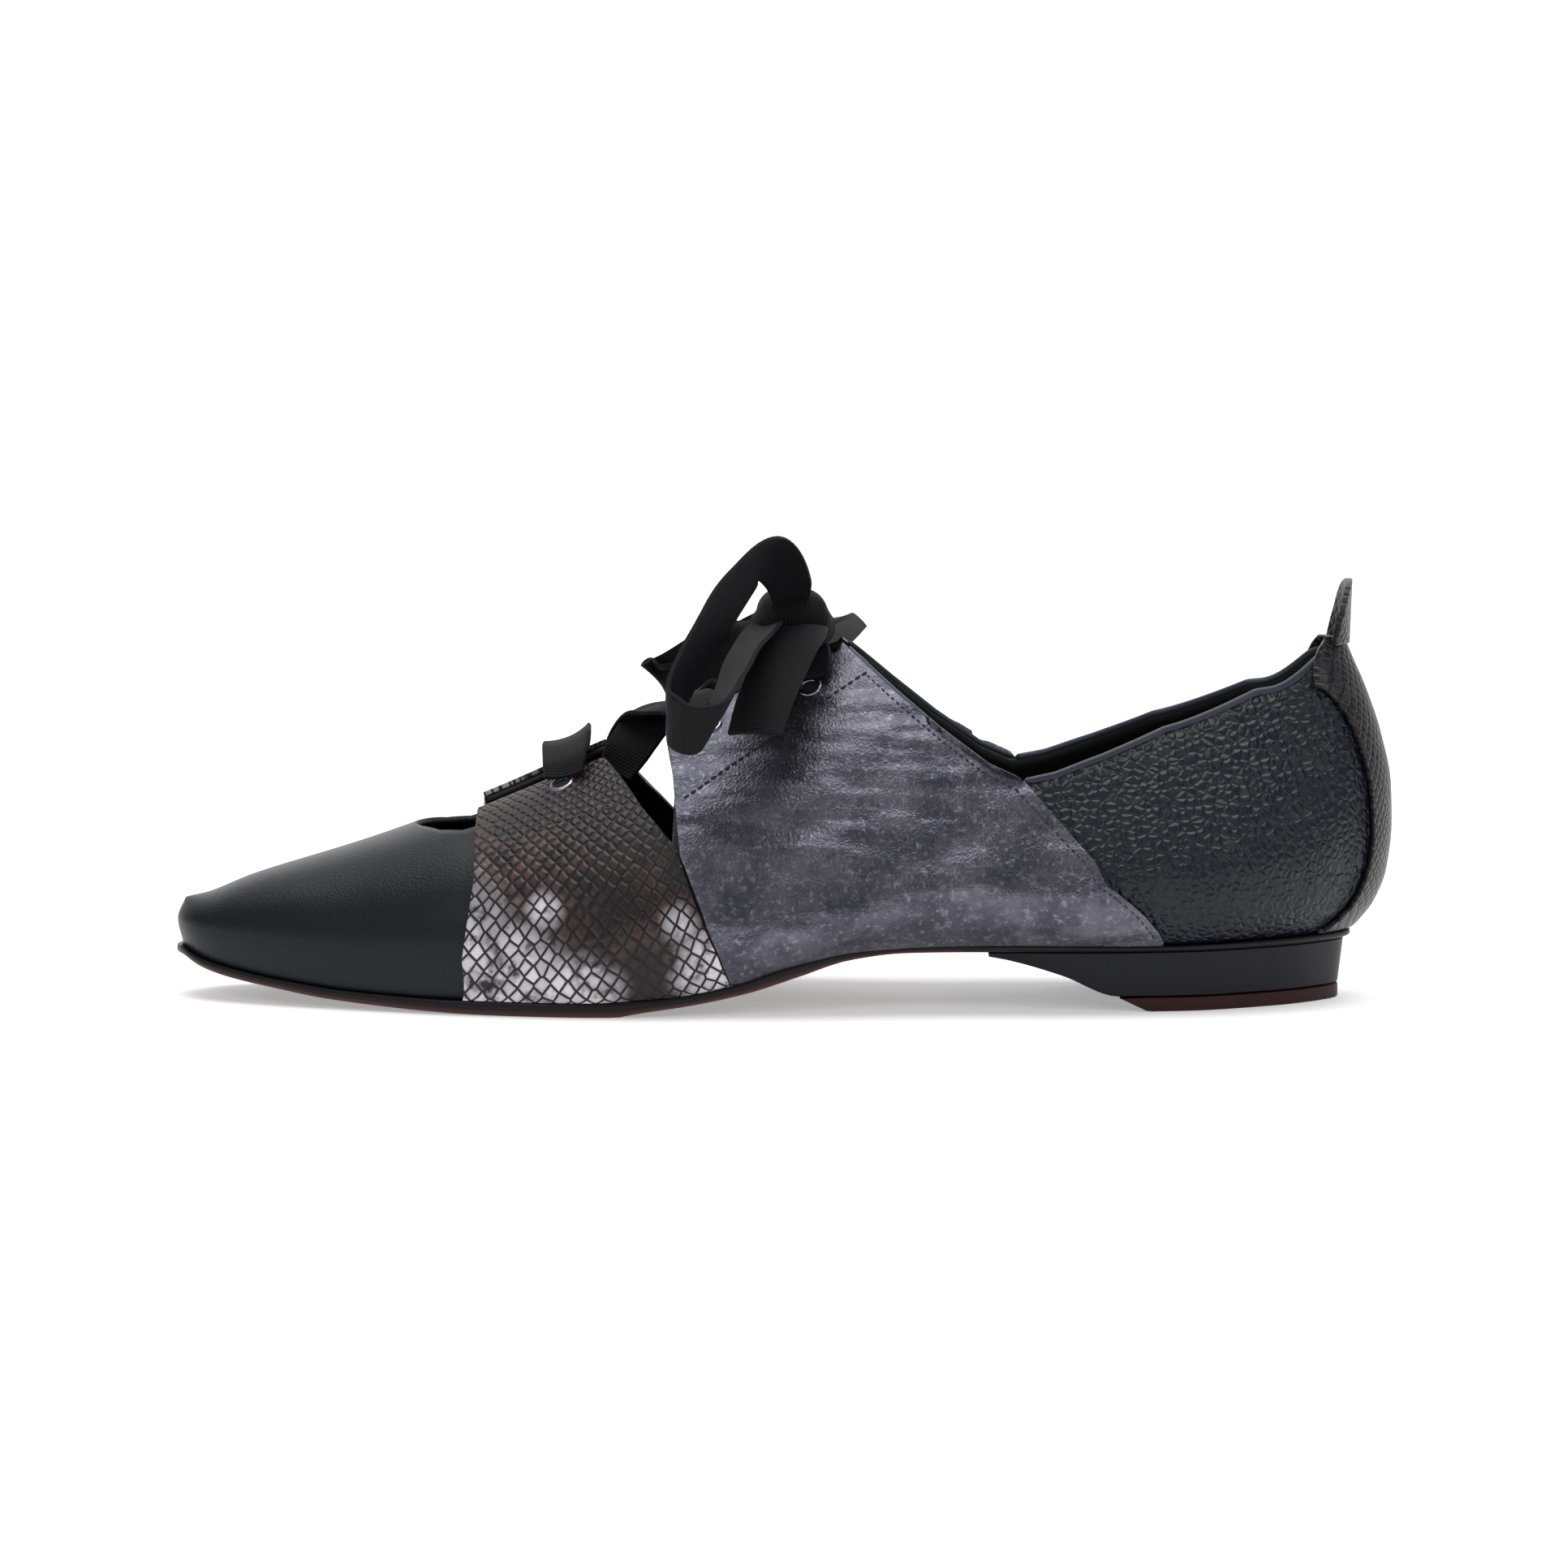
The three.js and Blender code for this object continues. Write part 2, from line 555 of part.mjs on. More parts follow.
// Surface spot under an eyelet: its point and outward direction.
function spotAt(along, side) {
  const x = along * SHOE_LENGTH;
  const y = side * BALL_WIDTH;
  let best = { distance: Infinity };
  for (let i = 0; i <= LENGTH_STEPS * 2; i += 1) {
    for (let k = 0; k <= CROWN_STEPS * 2; k += 1) {
      const station = i / (LENGTH_STEPS * 2);
      const level = k / (CROWN_STEPS * 2);
      [-1, 1].forEach((hand) => {
        const point = lastPoint(station, hand, level);
        const distance = Math.hypot(point.x - x, point.y - y);
        if (distance < best.distance) best = { distance, station, level, hand, point };
      });
    }
  }
  const step = 0.01;
  const forward = lastPoint(best.station + step, best.hand, best.level)
    .sub(lastPoint(best.station - step, best.hand, best.level));
  const upward = lastPoint(best.station, best.hand, Math.min(1, best.level + step))
    .sub(lastPoint(best.station, best.hand, best.level - step));
  const normal = forward.cross(upward).normalize();
  if (normal.z < 0) normal.negate();
  return { point: best.point, normal };
}

function standOn(geometry, spot) {
  const turn = new THREE.Quaternion().setFromUnitVectors(new THREE.Vector3(0, 1, 0), spot.normal);
  geometry.applyQuaternion(turn);
  geometry.translate(spot.point.x, spot.point.y, spot.point.z);
  return toManifold(geometry);
}

// Flanged ring with its barrel in the hole, turned about its own axis.
function eyeletSolid(spot) {
  const low = OVERLAY_TOP + PIECE_GAP;
  const profile = [
    new THREE.Vector2(EYELET_BARREL - 0.4, 0.2),
    new THREE.Vector2(EYELET_BARREL, 0.2),
    new THREE.Vector2(EYELET_BARREL, low),
    new THREE.Vector2(EYELET_RADIUS, low),
    new THREE.Vector2(EYELET_RADIUS - 0.5, low + 0.5),
    new THREE.Vector2(EYELET_BARREL - 0.4, low + 0.4),
    new THREE.Vector2(EYELET_BARREL - 0.4, 0.2),
  ];
  return standOn(new THREE.LatheGeometry(profile, ROUND_STEPS), spot);
}

const eyelets = EYELET_ROWS.flatMap((row) => [
  { name: `eyelet_outer_${row.pair}`, spot: spotAt(row.along, row.outer) },
  { name: `eyelet_inner_${row.pair}`, spot: spotAt(row.along, row.inner) },
]);
const holes = wasm.Manifold.union(eyelets.map(({ spot }) => (
  standOn(new THREE.CylinderGeometry(EYELET_HOLE, EYELET_HOLE, 10, ROUND_STEPS), spot))));

// The upper: one hollow wall from the seat to the topline
const wall = shellBetween(-UPPER_WALL, 0);
const upper = wall.subtract(toplineCut).subtract(gapCut).subtract(channelCut)
  .subtract(cutoutCut).subtract(holes);
addNode("upper", upper, 0x1b1d22, 0.5, 0);

// Overlays cut from the same surface
const overlay = shellBetween(PIECE_GAP, OVERLAY_TOP);
const overlayOpen = overlay.subtract(toplineCut).subtract(gapCut).subtract(channelCut)
  .subtract(holes);
const SIDES = [
  { suffix: "outer", from: -BEYOND, to: 4.5 },
  { suffix: "inner", from: 5.5, to: BEYOND },
];
SIDES.forEach(({ suffix, from, to }) => {
  addNode(`band_${suffix}`, overlayOpen.intersect(sidePrism(BAND_FIELD, from, to)),
    0x8c8480, 0.45, 0);
  addNode(`quarter_${suffix}`, overlayOpen.intersect(sidePrism(QUARTER_FIELD, from, to)),
    0x6d6a72, 0.35, 0.6);
});

// Outline of the seat at a station, pushed out level by a distance.
function seatEdge(station, side, distance) {
  const step = 0.004;
  const at = lastPoint(station, side, -1);
  const before = lastPoint(Math.max(0, station - step), side, -1);
  const after = lastPoint(Math.min(1, station + step), side, -1);
  const forward = after.sub(before);
  const normal = new THREE.Vector3(-forward.y, forward.x, 0).multiplyScalar(side).normalize();
  if (station === 0) normal.set(-1, 0, 0);
  if (station === 1) normal.set(1, 0, 0);
  return at.addScaledVector(normal, distance);
}

// Loft of closed cross-sections, one per station, each a list of edges with a height.
function loft(stations, sectionAt) {
  const rings = stations.map(sectionAt);
  const count = rings[0].length;
  const index = [];
  for (let i = 0; i < rings.length - 1; i += 1) {
    for (let j = 0; j < count; j += 1) {
      const next = (j + 1) % count;
      const a = i * count + j;
      const b = i * count + next;
      index.push(a, b, a + count, b, b + count, a + count);
    }
  }
  const lid = (start, flip) => {
    for (let j = 1; j < count - 1; j += 1) {
      if (flip) index.push(start, start + j + 1, start + j);
      else index.push(start, start + j, start + j + 1);
    }
  };
  lid(0, true);
  lid((rings.length - 1) * count, false);
  const solid = solidOf(rings.flat(), index);
  return solid.volume() < 0 ? solidOf(rings.flat(), index.reverse()) : solid;
}

function crossSection(station, layers) {
  const spots = (side) => layers.map(({ out, height }) => {
    const p = seatEdge(station, side, out);
    return new THREE.Vector3(p.x, p.y, height(p.x));
  });
  return spots(1).concat(spots(-1).reverse());
}

// Stations between two ends, kept on the steps of the upper so that the faces match.
const TIP_STATION = 0.006;
const stationSpan = (from, to) => [from].concat(
  Array.from({ length: LENGTH_STEPS + 1 }, (unused, i) => i / LENGTH_STEPS)
    .filter((station) => station > from + 0.004 && station < to - 0.004),
  [to]);

const soleTop = (x) => seatHeight(x) - PIECE_GAP;
const outsole = loft(stationSpan(TIP_STATION, 1 - TIP_STATION), (station) => (
  crossSection(station, [
    { out: SOLE_EDGE - 0.4, height: soleTop },
    { out: SOLE_EDGE, height: (x) => soleTop(x) - 0.45 },
    { out: SOLE_EDGE - 0.3, height: (x) => (soleTop(x) + treadHeight(x)) / 2 - 0.1 },
    { out: SOLE_EDGE - SOLE_BEVEL, height: treadHeight },
  ])));
addNode("outsole", outsole, 0x2a1c1c, 0.6, 0);

const insole = loft(stationSpan(0.03, 0.975), (station) => (
  crossSection(station, [
    { out: -UPPER_WALL - PIECE_GAP - 0.3, height: (x) => seatHeight(x) + INSOLE_THICKNESS },
    { out: -UPPER_WALL - PIECE_GAP - 0.3, height: seatHeight },
  ])));
addNode("insole", insole, 0x3a332f, 0.7, 0);

// Heel block and its top lift, both inside the seat outline
const SEAT_TOE = SHOE_LENGTH * SEAT_ROWS[0].along;
const SEAT_BACK = SHOE_LENGTH * SEAT_ROWS[SEAT_ROWS.length - 1].along;
const stationOf = (x) => (
  Math.acos(1 - 2 * (x - SEAT_TOE) / (SEAT_BACK - SEAT_TOE)) / Math.PI);
const heelTop = (x) => treadHeight(x) - PIECE_GAP;
const heelBlock = loft(stationSpan(stationOf(HEEL_START), 1 - TIP_STATION), (station) => (
  crossSection(station, [
    { out: SOLE_EDGE - 1.4, height: heelTop },
    { out: SOLE_EDGE - 1.4 - HEEL_TAPER, height: (x) => Math.min(breastHeight(x), heelTop(x) - 0.4) },
  ])));
addNode("heel_block", heelBlock, 0x1a1a1c, 0.5, 0);

const liftSlope = (x) => Math.max(0, TOP_LIFT_THICKNESS
  * (1 - (x - HEEL_LIFT_START) / HEEL_LIFT_SLANT));
const liftStations = [0.15, 0.56].map((share) => (
  stationOf(HEEL_LIFT_START + HEEL_LIFT_SLANT * share))).concat(
  stationSpan(stationOf(HEEL_LIFT_START + HEEL_LIFT_SLANT), 1 - TIP_STATION));
const topLift = loft(liftStations, (station) => (
  crossSection(station, [
    { out: SOLE_EDGE - 1.4 - HEEL_TAPER, height: () => TOP_LIFT_THICKNESS },
    { out: SOLE_EDGE - 1.4 - HEEL_TAPER, height: (x) => Math.min(liftSlope(x), TOP_LIFT_THICKNESS - 0.2) },
  ])));
addNode("heel_top_lift", topLift, 0x4a1216, 0.6, 0);

// Back strip on the counter, with the pull tab standing on it
const STRIP_FIELD = [
  { along: 0.42, up: 0 },
  { along: 0.6, up: 0 },
  { along: 0.6, up: 1.035 },
  { along: 0.4535, up: 1.035 },
  { along: 0.4525, up: 0.95 },
  { along: 0.44, up: 0.75 },
  { along: 0.42, up: 0.5 },
];
const stripMiddle = BALL_WIDTH * LAST_ROWS.at(-1).inner;
const strip = overlay.intersect(
  sidePrism(STRIP_FIELD, stripMiddle - STRIP_WIDTH / 2, stripMiddle + STRIP_WIDTH / 2));
addNode("heel_strip", strip, 0x4d4742, 0.4, 0);

// Curved tab: an arc in plan, narrowing upwards to a rounded top.
const TAB_FOOT = 77.95;
const TAB_RADIUS = 12.5;
const TAB_BACK = SHOE_LENGTH * backCurve(TAB_FOOT / INSTEP_HEIGHT) + OVERLAY_TOP;
const TAB_ROWS = [
  { height: 0, half: 0.5, radius: 1 },
  { height: 0.3, half: 0.49, radius: 1.3 },
  { height: 0.6, half: 0.46, radius: 1.8 },
  { height: 0.82, half: 0.4, radius: 2.2 },
  { height: 0.95, half: 0.28, radius: 2.5 },
  { height: 1, half: 0.12, radius: 2.6 },
];
function pullTab() {
  const across = 8;
  const rings = TAB_ROWS.map((row) => {
    const z = TAB_FOOT + (TAB_TOP - TAB_FOOT) * row.height;
    const radius = TAB_RADIUS * row.radius;
    const spread = TAB_WIDTH * row.half / radius;
    const back = TAB_BACK + 0.4 * row.height;
    const arc = (r, flip) => Array.from({ length: across + 1 }, (unused, i) => {
      const angle = spread * (2 * i / across - 1) * flip;
      return new THREE.Vector3(back - radius + r * Math.cos(angle),
        stripMiddle + r * Math.sin(angle), z);
    });
    return arc(radius, 1).concat(arc(radius - TAB_THICKNESS, -1));
  });
  const count = rings[0].length;
  const index = [];
  for (let i = 0; i < rings.length - 1; i += 1) {
    for (let j = 0; j < count; j += 1) {
      const next = (j + 1) % count;
      const a = i * count + j;
      const b = i * count + next;
      index.push(a, b, a + count, b, b + count, a + count);
    }
  }
  for (let i = 0; i < across; i += 1) {
    const j = count - 1 - i;
    const top = (rings.length - 1) * count;
    index.push(i, j, i + 1, j, j - 1, i + 1);
    index.push(top + i, top + i + 1, top + j, top + j, top + i + 1, top + j - 1);
  }
  return solidOf(rings.flat(), index);
}
addNode("pull_tab", pullTab(), 0x4d4742, 0.4, 0);

eyelets.forEach(({ name, spot }) => addNode(name, eyeletSolid(spot), 0x6a6a70, 0.3, 0.9));

// Ribbon along a course: a flat strip whose width keeps to a level direction, then tilted.
function ribbon(rows, steps, level = new THREE.Vector3(1, 0, 0)) {
  const share = rows.map((row, i) => ({ at: i / (rows.length - 1), ...row }));
  const tilt = curve(share, "at", "tilt");
  const wide = curve(share, "at", "wide");
  const course = new THREE.CatmullRomCurve3(rows.map((row) => new THREE.Vector3(
    row.along * SHOE_LENGTH, row.side * BALL_WIDTH, row.up * INSTEP_HEIGHT)));
  const points = [];
  for (let i = 0; i <= steps; i += 1) {
    const t = i / steps;
    const at = course.getPoint(t);
    const ahead = course.getTangent(t);
    const across = level.clone().addScaledVector(ahead, -level.dot(ahead)).normalize();
    across.applyAxisAngle(ahead, THREE.MathUtils.degToRad(tilt(t)));
    const flat = new THREE.Vector3().crossVectors(ahead, across).normalize();
    const half = RIBBON_WIDTH * wide(t) / 2;
    const thick = RIBBON_THICKNESS / 2;
    [[-1, 0], [-0.8, -1], [0.8, -1], [1, 0], [0.8, 1], [-0.8, 1]].forEach(([a, b]) => {
      points.push(at.clone().addScaledVector(across, a * half).addScaledVector(flat, b * thick));
    });
  }
  const count = 6;
  const index = [];
  for (let i = 0; i < steps; i += 1) {
    for (let j = 0; j < count; j += 1) {
      const next = (j + 1) % count;
      const a = i * count + j;
      const b = i * count + next;
      index.push(a, b, a + count, b, b + count, a + count);
    }
  }
  for (let j = 1; j < count - 1; j += 1) {
    index.push(0, j + 1, j);
    index.push(steps * count, steps * count + j, steps * count + j + 1);
  }
  const solid = solidOf(points, index);
  return solid.volume() < 0 ? solidOf(points, index.reverse()) : solid;
}

const LACE_COLOUR = 0x17171a;
addNode("lace_bar_front", ribbon(BAR_FRONT, 14), LACE_COLOUR, 0.8, 0);
addNode("lace_crossing", ribbon(CROSSING_OUTWARD, 14).add(ribbon(CROSSING_INWARD, 14)),
  LACE_COLOUR, 0.8, 0);
addNode("lace_bar_back", ribbon(BAR_BACK, 12), LACE_COLOUR, 0.8, 0);
addNode("lace_bar_top", ribbon(BAR_TOP, 12), LACE_COLOUR, 0.8, 0);
addNode("bow_knot", ribbon(BOW_KNOT, 8, new THREE.Vector3(0, 1, 0)), LACE_COLOUR, 0.8, 0);
addNode("bow_loop_outer", ribbon(LOOP_OUTER, 34, new THREE.Vector3(0, 0, 1)), LACE_COLOUR, 0.8, 0);
addNode("bow_loop_inner", ribbon(LOOP_INNER, 24), LACE_COLOUR, 0.8, 0);
addNode("lace_end_outer", ribbon(END_OUTER, 14), LACE_COLOUR, 0.8, 0);
addNode("lace_end_inner", ribbon(END_INNER, 14), LACE_COLOUR, 0.8, 0);

export default group;
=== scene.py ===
# %% [markdown]
# # A flat lace-up shoe, dressed for a studio picture
# The solid model gives every size and place. This lesson dresses it: the leather upper, its
# printed and metallic panels, the sole, the eyelets and a ribbon bow, in real metres.

import json
import math

import bmesh
import bpy
import numpy as np
from mathutils import Matrix, Vector

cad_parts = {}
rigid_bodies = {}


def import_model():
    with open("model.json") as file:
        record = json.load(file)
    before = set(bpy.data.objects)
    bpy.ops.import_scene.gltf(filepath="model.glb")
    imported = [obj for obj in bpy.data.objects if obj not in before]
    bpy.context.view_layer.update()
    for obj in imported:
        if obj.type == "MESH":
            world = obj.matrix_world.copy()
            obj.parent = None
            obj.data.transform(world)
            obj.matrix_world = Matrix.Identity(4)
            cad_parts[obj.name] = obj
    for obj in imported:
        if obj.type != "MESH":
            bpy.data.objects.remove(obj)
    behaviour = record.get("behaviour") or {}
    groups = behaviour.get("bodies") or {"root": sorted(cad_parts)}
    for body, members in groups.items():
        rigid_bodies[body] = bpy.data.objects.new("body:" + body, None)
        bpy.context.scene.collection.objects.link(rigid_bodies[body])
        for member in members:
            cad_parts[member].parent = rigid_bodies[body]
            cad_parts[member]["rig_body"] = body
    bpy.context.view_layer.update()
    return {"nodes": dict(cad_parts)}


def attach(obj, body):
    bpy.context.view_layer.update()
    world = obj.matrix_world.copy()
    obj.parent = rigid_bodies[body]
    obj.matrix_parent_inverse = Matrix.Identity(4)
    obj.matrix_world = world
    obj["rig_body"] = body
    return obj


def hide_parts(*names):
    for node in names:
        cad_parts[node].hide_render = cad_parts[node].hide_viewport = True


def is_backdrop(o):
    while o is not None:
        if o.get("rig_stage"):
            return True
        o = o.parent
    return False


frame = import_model()
MM = 0.001
print("nodes:", sorted(frame["nodes"]))

# %% [markdown]
# ## Camera
# The picture was taken from the outer side of the shoe, from a little above the floor and from
# well away. A long lens about one and a half metres away keeps that view, and the shoe fills
# three quarters of the frame.

# %% Camera
VIEW_DISTANCE = 1.5
VIEW_ELEVATION = math.radians(5.5)
FRAME_WIDTH = 0.338
SENSOR_WIDTH = 36.0
VIEW_CENTRE = Vector((0.0, 0.0, 0.046))

camera_data = bpy.data.cameras.new("camera")
camera_data.sensor_width = SENSOR_WIDTH
camera_data.lens = SENSOR_WIDTH * VIEW_DISTANCE / FRAME_WIDTH
camera = bpy.data.objects.new("camera", camera_data)
bpy.context.scene.collection.objects.link(camera)
bpy.context.scene.camera = camera
view_line = Vector((0.0, -math.cos(VIEW_ELEVATION), math.sin(VIEW_ELEVATION)))
camera.location = VIEW_CENTRE + view_line * VIEW_DISTANCE
camera.rotation_euler = view_line.to_track_quat("Z", "Y").to_euler()
print("lens:", round(camera_data.lens, 1), "mm")

# %% [markdown]
# ## The last
# A shoe is shaped over a wooden or plastic foot form called a last. All the leather here follows
# one formula for that form: sections from toe to heel, each with a width on both sides, a
# height and a roundness. The rows hold shares of the shoe's length, ball width and heights.

# %% Sizes and tables of the last
SHOE_LENGTH = 262 * MM
BALL_WIDTH = 80 * MM
INSTEP_HEIGHT = 75 * MM
HEEL_HEIGHT = 14.6 * MM
WALL = 1.6 * MM
OVERLAY_TOP = 1.3 * MM
OVERLAY_THICKNESS = 1.0 * MM
WRAP_ANGLE = 1.15

LAST_COLUMNS = ("inner", "outer", "inner_tuck", "outer_tuck", "girth", "ridge", "lean", "full")
LAST_ROWS = (
    (0.0625, -0.0625, 0.0, 0.0, 0.2213, 0.2773, 0.0625, 0.6),
    (0.1962, 0.0738, 0.0125, 0.0125, 0.2133, 0.292, 0.0613, 0.6),
    (0.2975, 0.1862, 0.0187, 0.0187, 0.2067, 0.3547, 0.06, 0.6),
    (0.4012, 0.3087, 0.025, 0.025, 0.2, 0.4347, 0.0563, 0.58),
    (0.495, 0.4325, 0.0312, 0.0312, 0.2133, 0.5573, 0.05, 0.55),
    (0.49, 0.505, 0.04, 0.04, 0.24, 0.736, 0.0625, 0.5),
    (0.4487, 0.475, 0.1125, 0.0625, 0.2933, 0.928, 0.115, 0.42),
    (0.4025, 0.4412, 0.1437, 0.1, 0.36, 1.12, 0.1512, 0.33),
    (0.425, 0.4475, 0.0875, 0.0875, 0.3733, 1.16, 0.0663, 0.24),
    (0.4025, 0.41, 0.0688, 0.0688, 0.4, 1.12, 0.0387, 0.22),
    (0.3025, 0.295, 0.0625, 0.0625, 0.4533, 1.12, 0.0163, 0.26),
    (0.1575, 0.1425, 0.0437, 0.0437, 0.4933, 1.1333, 0.01, 0.62),
    (0.0075, -0.0075, 0.0, 0.0, 0.5133, 1.1333, 0.0075, 0.62),
)
# Along the length, and the rise of the upper's seat on the sole as a share of the heel height.
SEAT_ROWS = (
    (-0.4962, 0.7534), (-0.4847, 0.6575), (-0.4733, 0.589), (-0.4466, 0.4863),
    (-0.416, 0.3973), (-0.3458, 0.2671), (-0.2595, 0.2192), (-0.1679, 0.2192),
    (-0.0973, 0.2808), (-0.0408, 0.4589), (0.0023, 0.7055), (0.0599, 0.9178),
    (0.1176, 0.9795), (0.1939, 1.0), (0.3053, 0.9795), (0.3855, 1.0), (0.4656, 1.0205),
)
# Along the length, and the rise of the sole's underside.
TREAD_ROWS = (
    (-0.4943, 0.6), (-0.4794, 0.48), (-0.4538, 0.36), (-0.416, 0.25), (-0.3737, 0.1412),
    (-0.3305, 0.0759), (-0.2878, 0.0311), (-0.2443, 0.004), (-0.2214, 0.0), (-0.1374, 0.0),
    (-0.1168, 0.0548), (-0.0725, 0.1644), (-0.0305, 0.3151), (0.0115, 0.5411),
    (0.0534, 0.7671), (0.0973, 0.8562), (0.1527, 0.8733), (0.4695, 0.8904),
)
# Height as a share of the instep height, and the heel's back as a share of the length.
BACK_ROWS = (
    (0.1467, 0.4641), (0.1987, 0.4618), (0.2293, 0.4695), (0.2893, 0.4824), (0.38, 0.492),
    (0.5067, 0.4958), (0.6133, 0.495), (0.768, 0.4859), (0.888, 0.474), (0.9787, 0.4626),
    (1.0667, 0.4523), (1.1467, 0.4447),
)
TIP_ROWS = ((0.1467, -0.4962), (0.2213, -0.5008), (0.2773, -0.4946))


# %% Smooth curves through the rows
def smooth_curve(knots, values):
    """A curve through the rows that never swings past them."""
    knots = np.asarray(knots, float)
    values = np.asarray(values, float)
    gaps = np.diff(knots)
    rates = np.diff(values) / gaps
    slopes = np.zeros(len(knots))
    slopes[0], slopes[-1] = rates[0], rates[-1]
    for i in range(1, len(knots) - 1):
        if rates[i - 1] * rates[i] > 0:
            before = 2 * gaps[i] + gaps[i - 1]
            after = gaps[i] + 2 * gaps[i - 1]
            slopes[i] = (before + after) / (before / rates[i - 1] + after / rates[i])

    def at(place):
        place = np.asarray(place, float)
        i = np.clip(np.searchsorted(knots, place) - 1, 0, len(gaps) - 1)
        t = np.clip((place - knots[i]) / gaps[i], 0, 1)
        start = values[i] * (1 + 2 * t) * (1 - t) ** 2
        end = values[i + 1] * t * t * (3 - 2 * t)
        bend = gaps[i] * t * (1 - t) * (slopes[i] * (1 - t) - slopes[i + 1] * t)
        return start + end + bend

    return at


last_stations = np.linspace(0, 1, len(LAST_ROWS))
last = {
    name: smooth_curve(last_stations, [row[i] for row in LAST_ROWS])
    for i, name in enumerate(LAST_COLUMNS)
}
seat_curve = smooth_curve(*zip(*SEAT_ROWS))
tread_curve = smooth_curve(*zip(*TREAD_ROWS))
back_curve = smooth_curve(*zip(*BACK_ROWS))
tip_curve = smooth_curve(*zip(*TIP_ROWS))


def seat_height(x):
    return HEEL_HEIGHT * seat_curve(x / SHOE_LENGTH)


def tread_height(x):
    return HEEL_HEIGHT * tread_curve(x / SHOE_LENGTH)


# %% Points of the last
def section_shape(full, level):
    """Share of the tuck and drop below the widest line, of the width and height above it."""
    angle = np.clip(-level, 0, 1) * WRAP_ANGLE
    tuck = (1 - np.cos(angle)) / (1 - math.cos(WRAP_ANGLE))
    drop = np.sin(angle) / math.sin(WRAP_ANGLE)
    t = np.clip(level, 0, 1)
    rest = 1 - t
    wide = rest**3 + 3 * rest * rest * t + 3 * rest * t * t * full
    high = 3 * rest * rest * t * full + 3 * rest * t * t + t**3
    return tuck, drop, wide, high


def last_points(station, side, level):
    """Places on the last: station 0 toe to 1 heel, side 1 inner or -1 outer, level -1 to 1."""
    station, side, level = np.broadcast_arrays(station, side, level)
    tuck, drop, wide, high = section_shape(last["full"](station), level)

    def end_height(row, foot):
        low = INSTEP_HEIGHT * row[4]
        _, end_drop, _, end_high = section_shape(row[7], level)
        above = low + (INSTEP_HEIGHT * row[5] - low) * end_high
        return np.where(level < 0, low - (low - foot) * end_drop, above)

    tip_z = end_height(LAST_ROWS[0], HEEL_HEIGHT * SEAT_ROWS[0][1])
    back_z = end_height(LAST_ROWS[-1], HEEL_HEIGHT * SEAT_ROWS[-1][1])
    tip = SHOE_LENGTH * tip_curve(tip_z / INSTEP_HEIGHT)
    back = SHOE_LENGTH * back_curve(back_z / INSTEP_HEIGHT)
    x = tip + (back - tip) * (1 - np.cos(np.pi * station)) / 2
    inner = BALL_WIDTH * last["inner"](station)
    outer = -BALL_WIDTH * last["outer"](station)
    girth = INSTEP_HEIGHT * last["girth"](station)
    ridge = INSTEP_HEIGHT * last["ridge"](station)
    tuck_size = np.where(side > 0, last["inner_tuck"](station), last["outer_tuck"](station))
    edge = np.where(side > 0, inner, outer)
    low_y = edge - side * BALL_WIDTH * tuck_size * tuck
    low_z = girth - (girth - seat_height(x)) * drop
    middle = (inner + outer) / 2
    centre = middle + (BALL_WIDTH * last["lean"](station) - middle) * high
    high_y = centre + side * (inner - outer) / 2 * wide
    high_z = girth + (ridge - girth) * high
    y = np.where(level < 0, low_y, high_y)
    z = np.where(level < 0, low_z, high_z)
    return np.stack([x, y, z], axis=-1)


STATION_STEP = 0.002
LEVEL_STEP = 0.01


def last_normals(station, side, level):
    """Directions straight out of the last, level at the seat."""
    station = np.clip(station, STATION_STEP, 1 - STATION_STEP)
    low = np.clip(level - LEVEL_STEP, -1, 1)
    high = np.clip(level + LEVEL_STEP, -1, 1)
    along = last_points(station + STATION_STEP, side, level) - last_points(
        station - STATION_STEP, side, level)
    up = last_points(station, side, high) - last_points(station, side, low)
    out = np.cross(up, along) * np.asarray(side)[..., None]
    seat = np.clip((np.asarray(level) + 1) * 6, 0, 1)
    out[..., 2] *= seat
    return out / np.linalg.norm(out, axis=-1, keepdims=True)


print("instep point:", np.round(last_points(0.5, -1, 0.6) / MM, 1))

# %% [markdown]
# ## Wear creases
# Leather that bends with the foot keeps soft troughs. Each one is listed: a line in
# the side view, a depth and a width. The same field moves the wall and every panel on it.

# %% Crease field
# Side, then start and end of the line (x, z) in mm, depth in mm and half width in mm.
CREASES = (
    (-1, (-18, 34), (22, 44), 0.5, 3.2),
    (-1, (-8, 24), (40, 33), 0.45, 4.0),
    (-1, (20, 30), (66, 33), -0.35, 5.0),
    (-1, (8, 52), (40, 38), 0.3, 4.0),
    (-1, (-100, 22), (-74, 30), 0.22, 4.5),
    (1, (-20, 36), (20, 46), 0.5, 3.4),
    (1, (-6, 25), (42, 34), 0.45, 4.0),
    (1, (18, 31), (60, 34), -0.35, 5.0),
    (1, (-98, 22), (-72, 31), 0.22, 4.5),
)


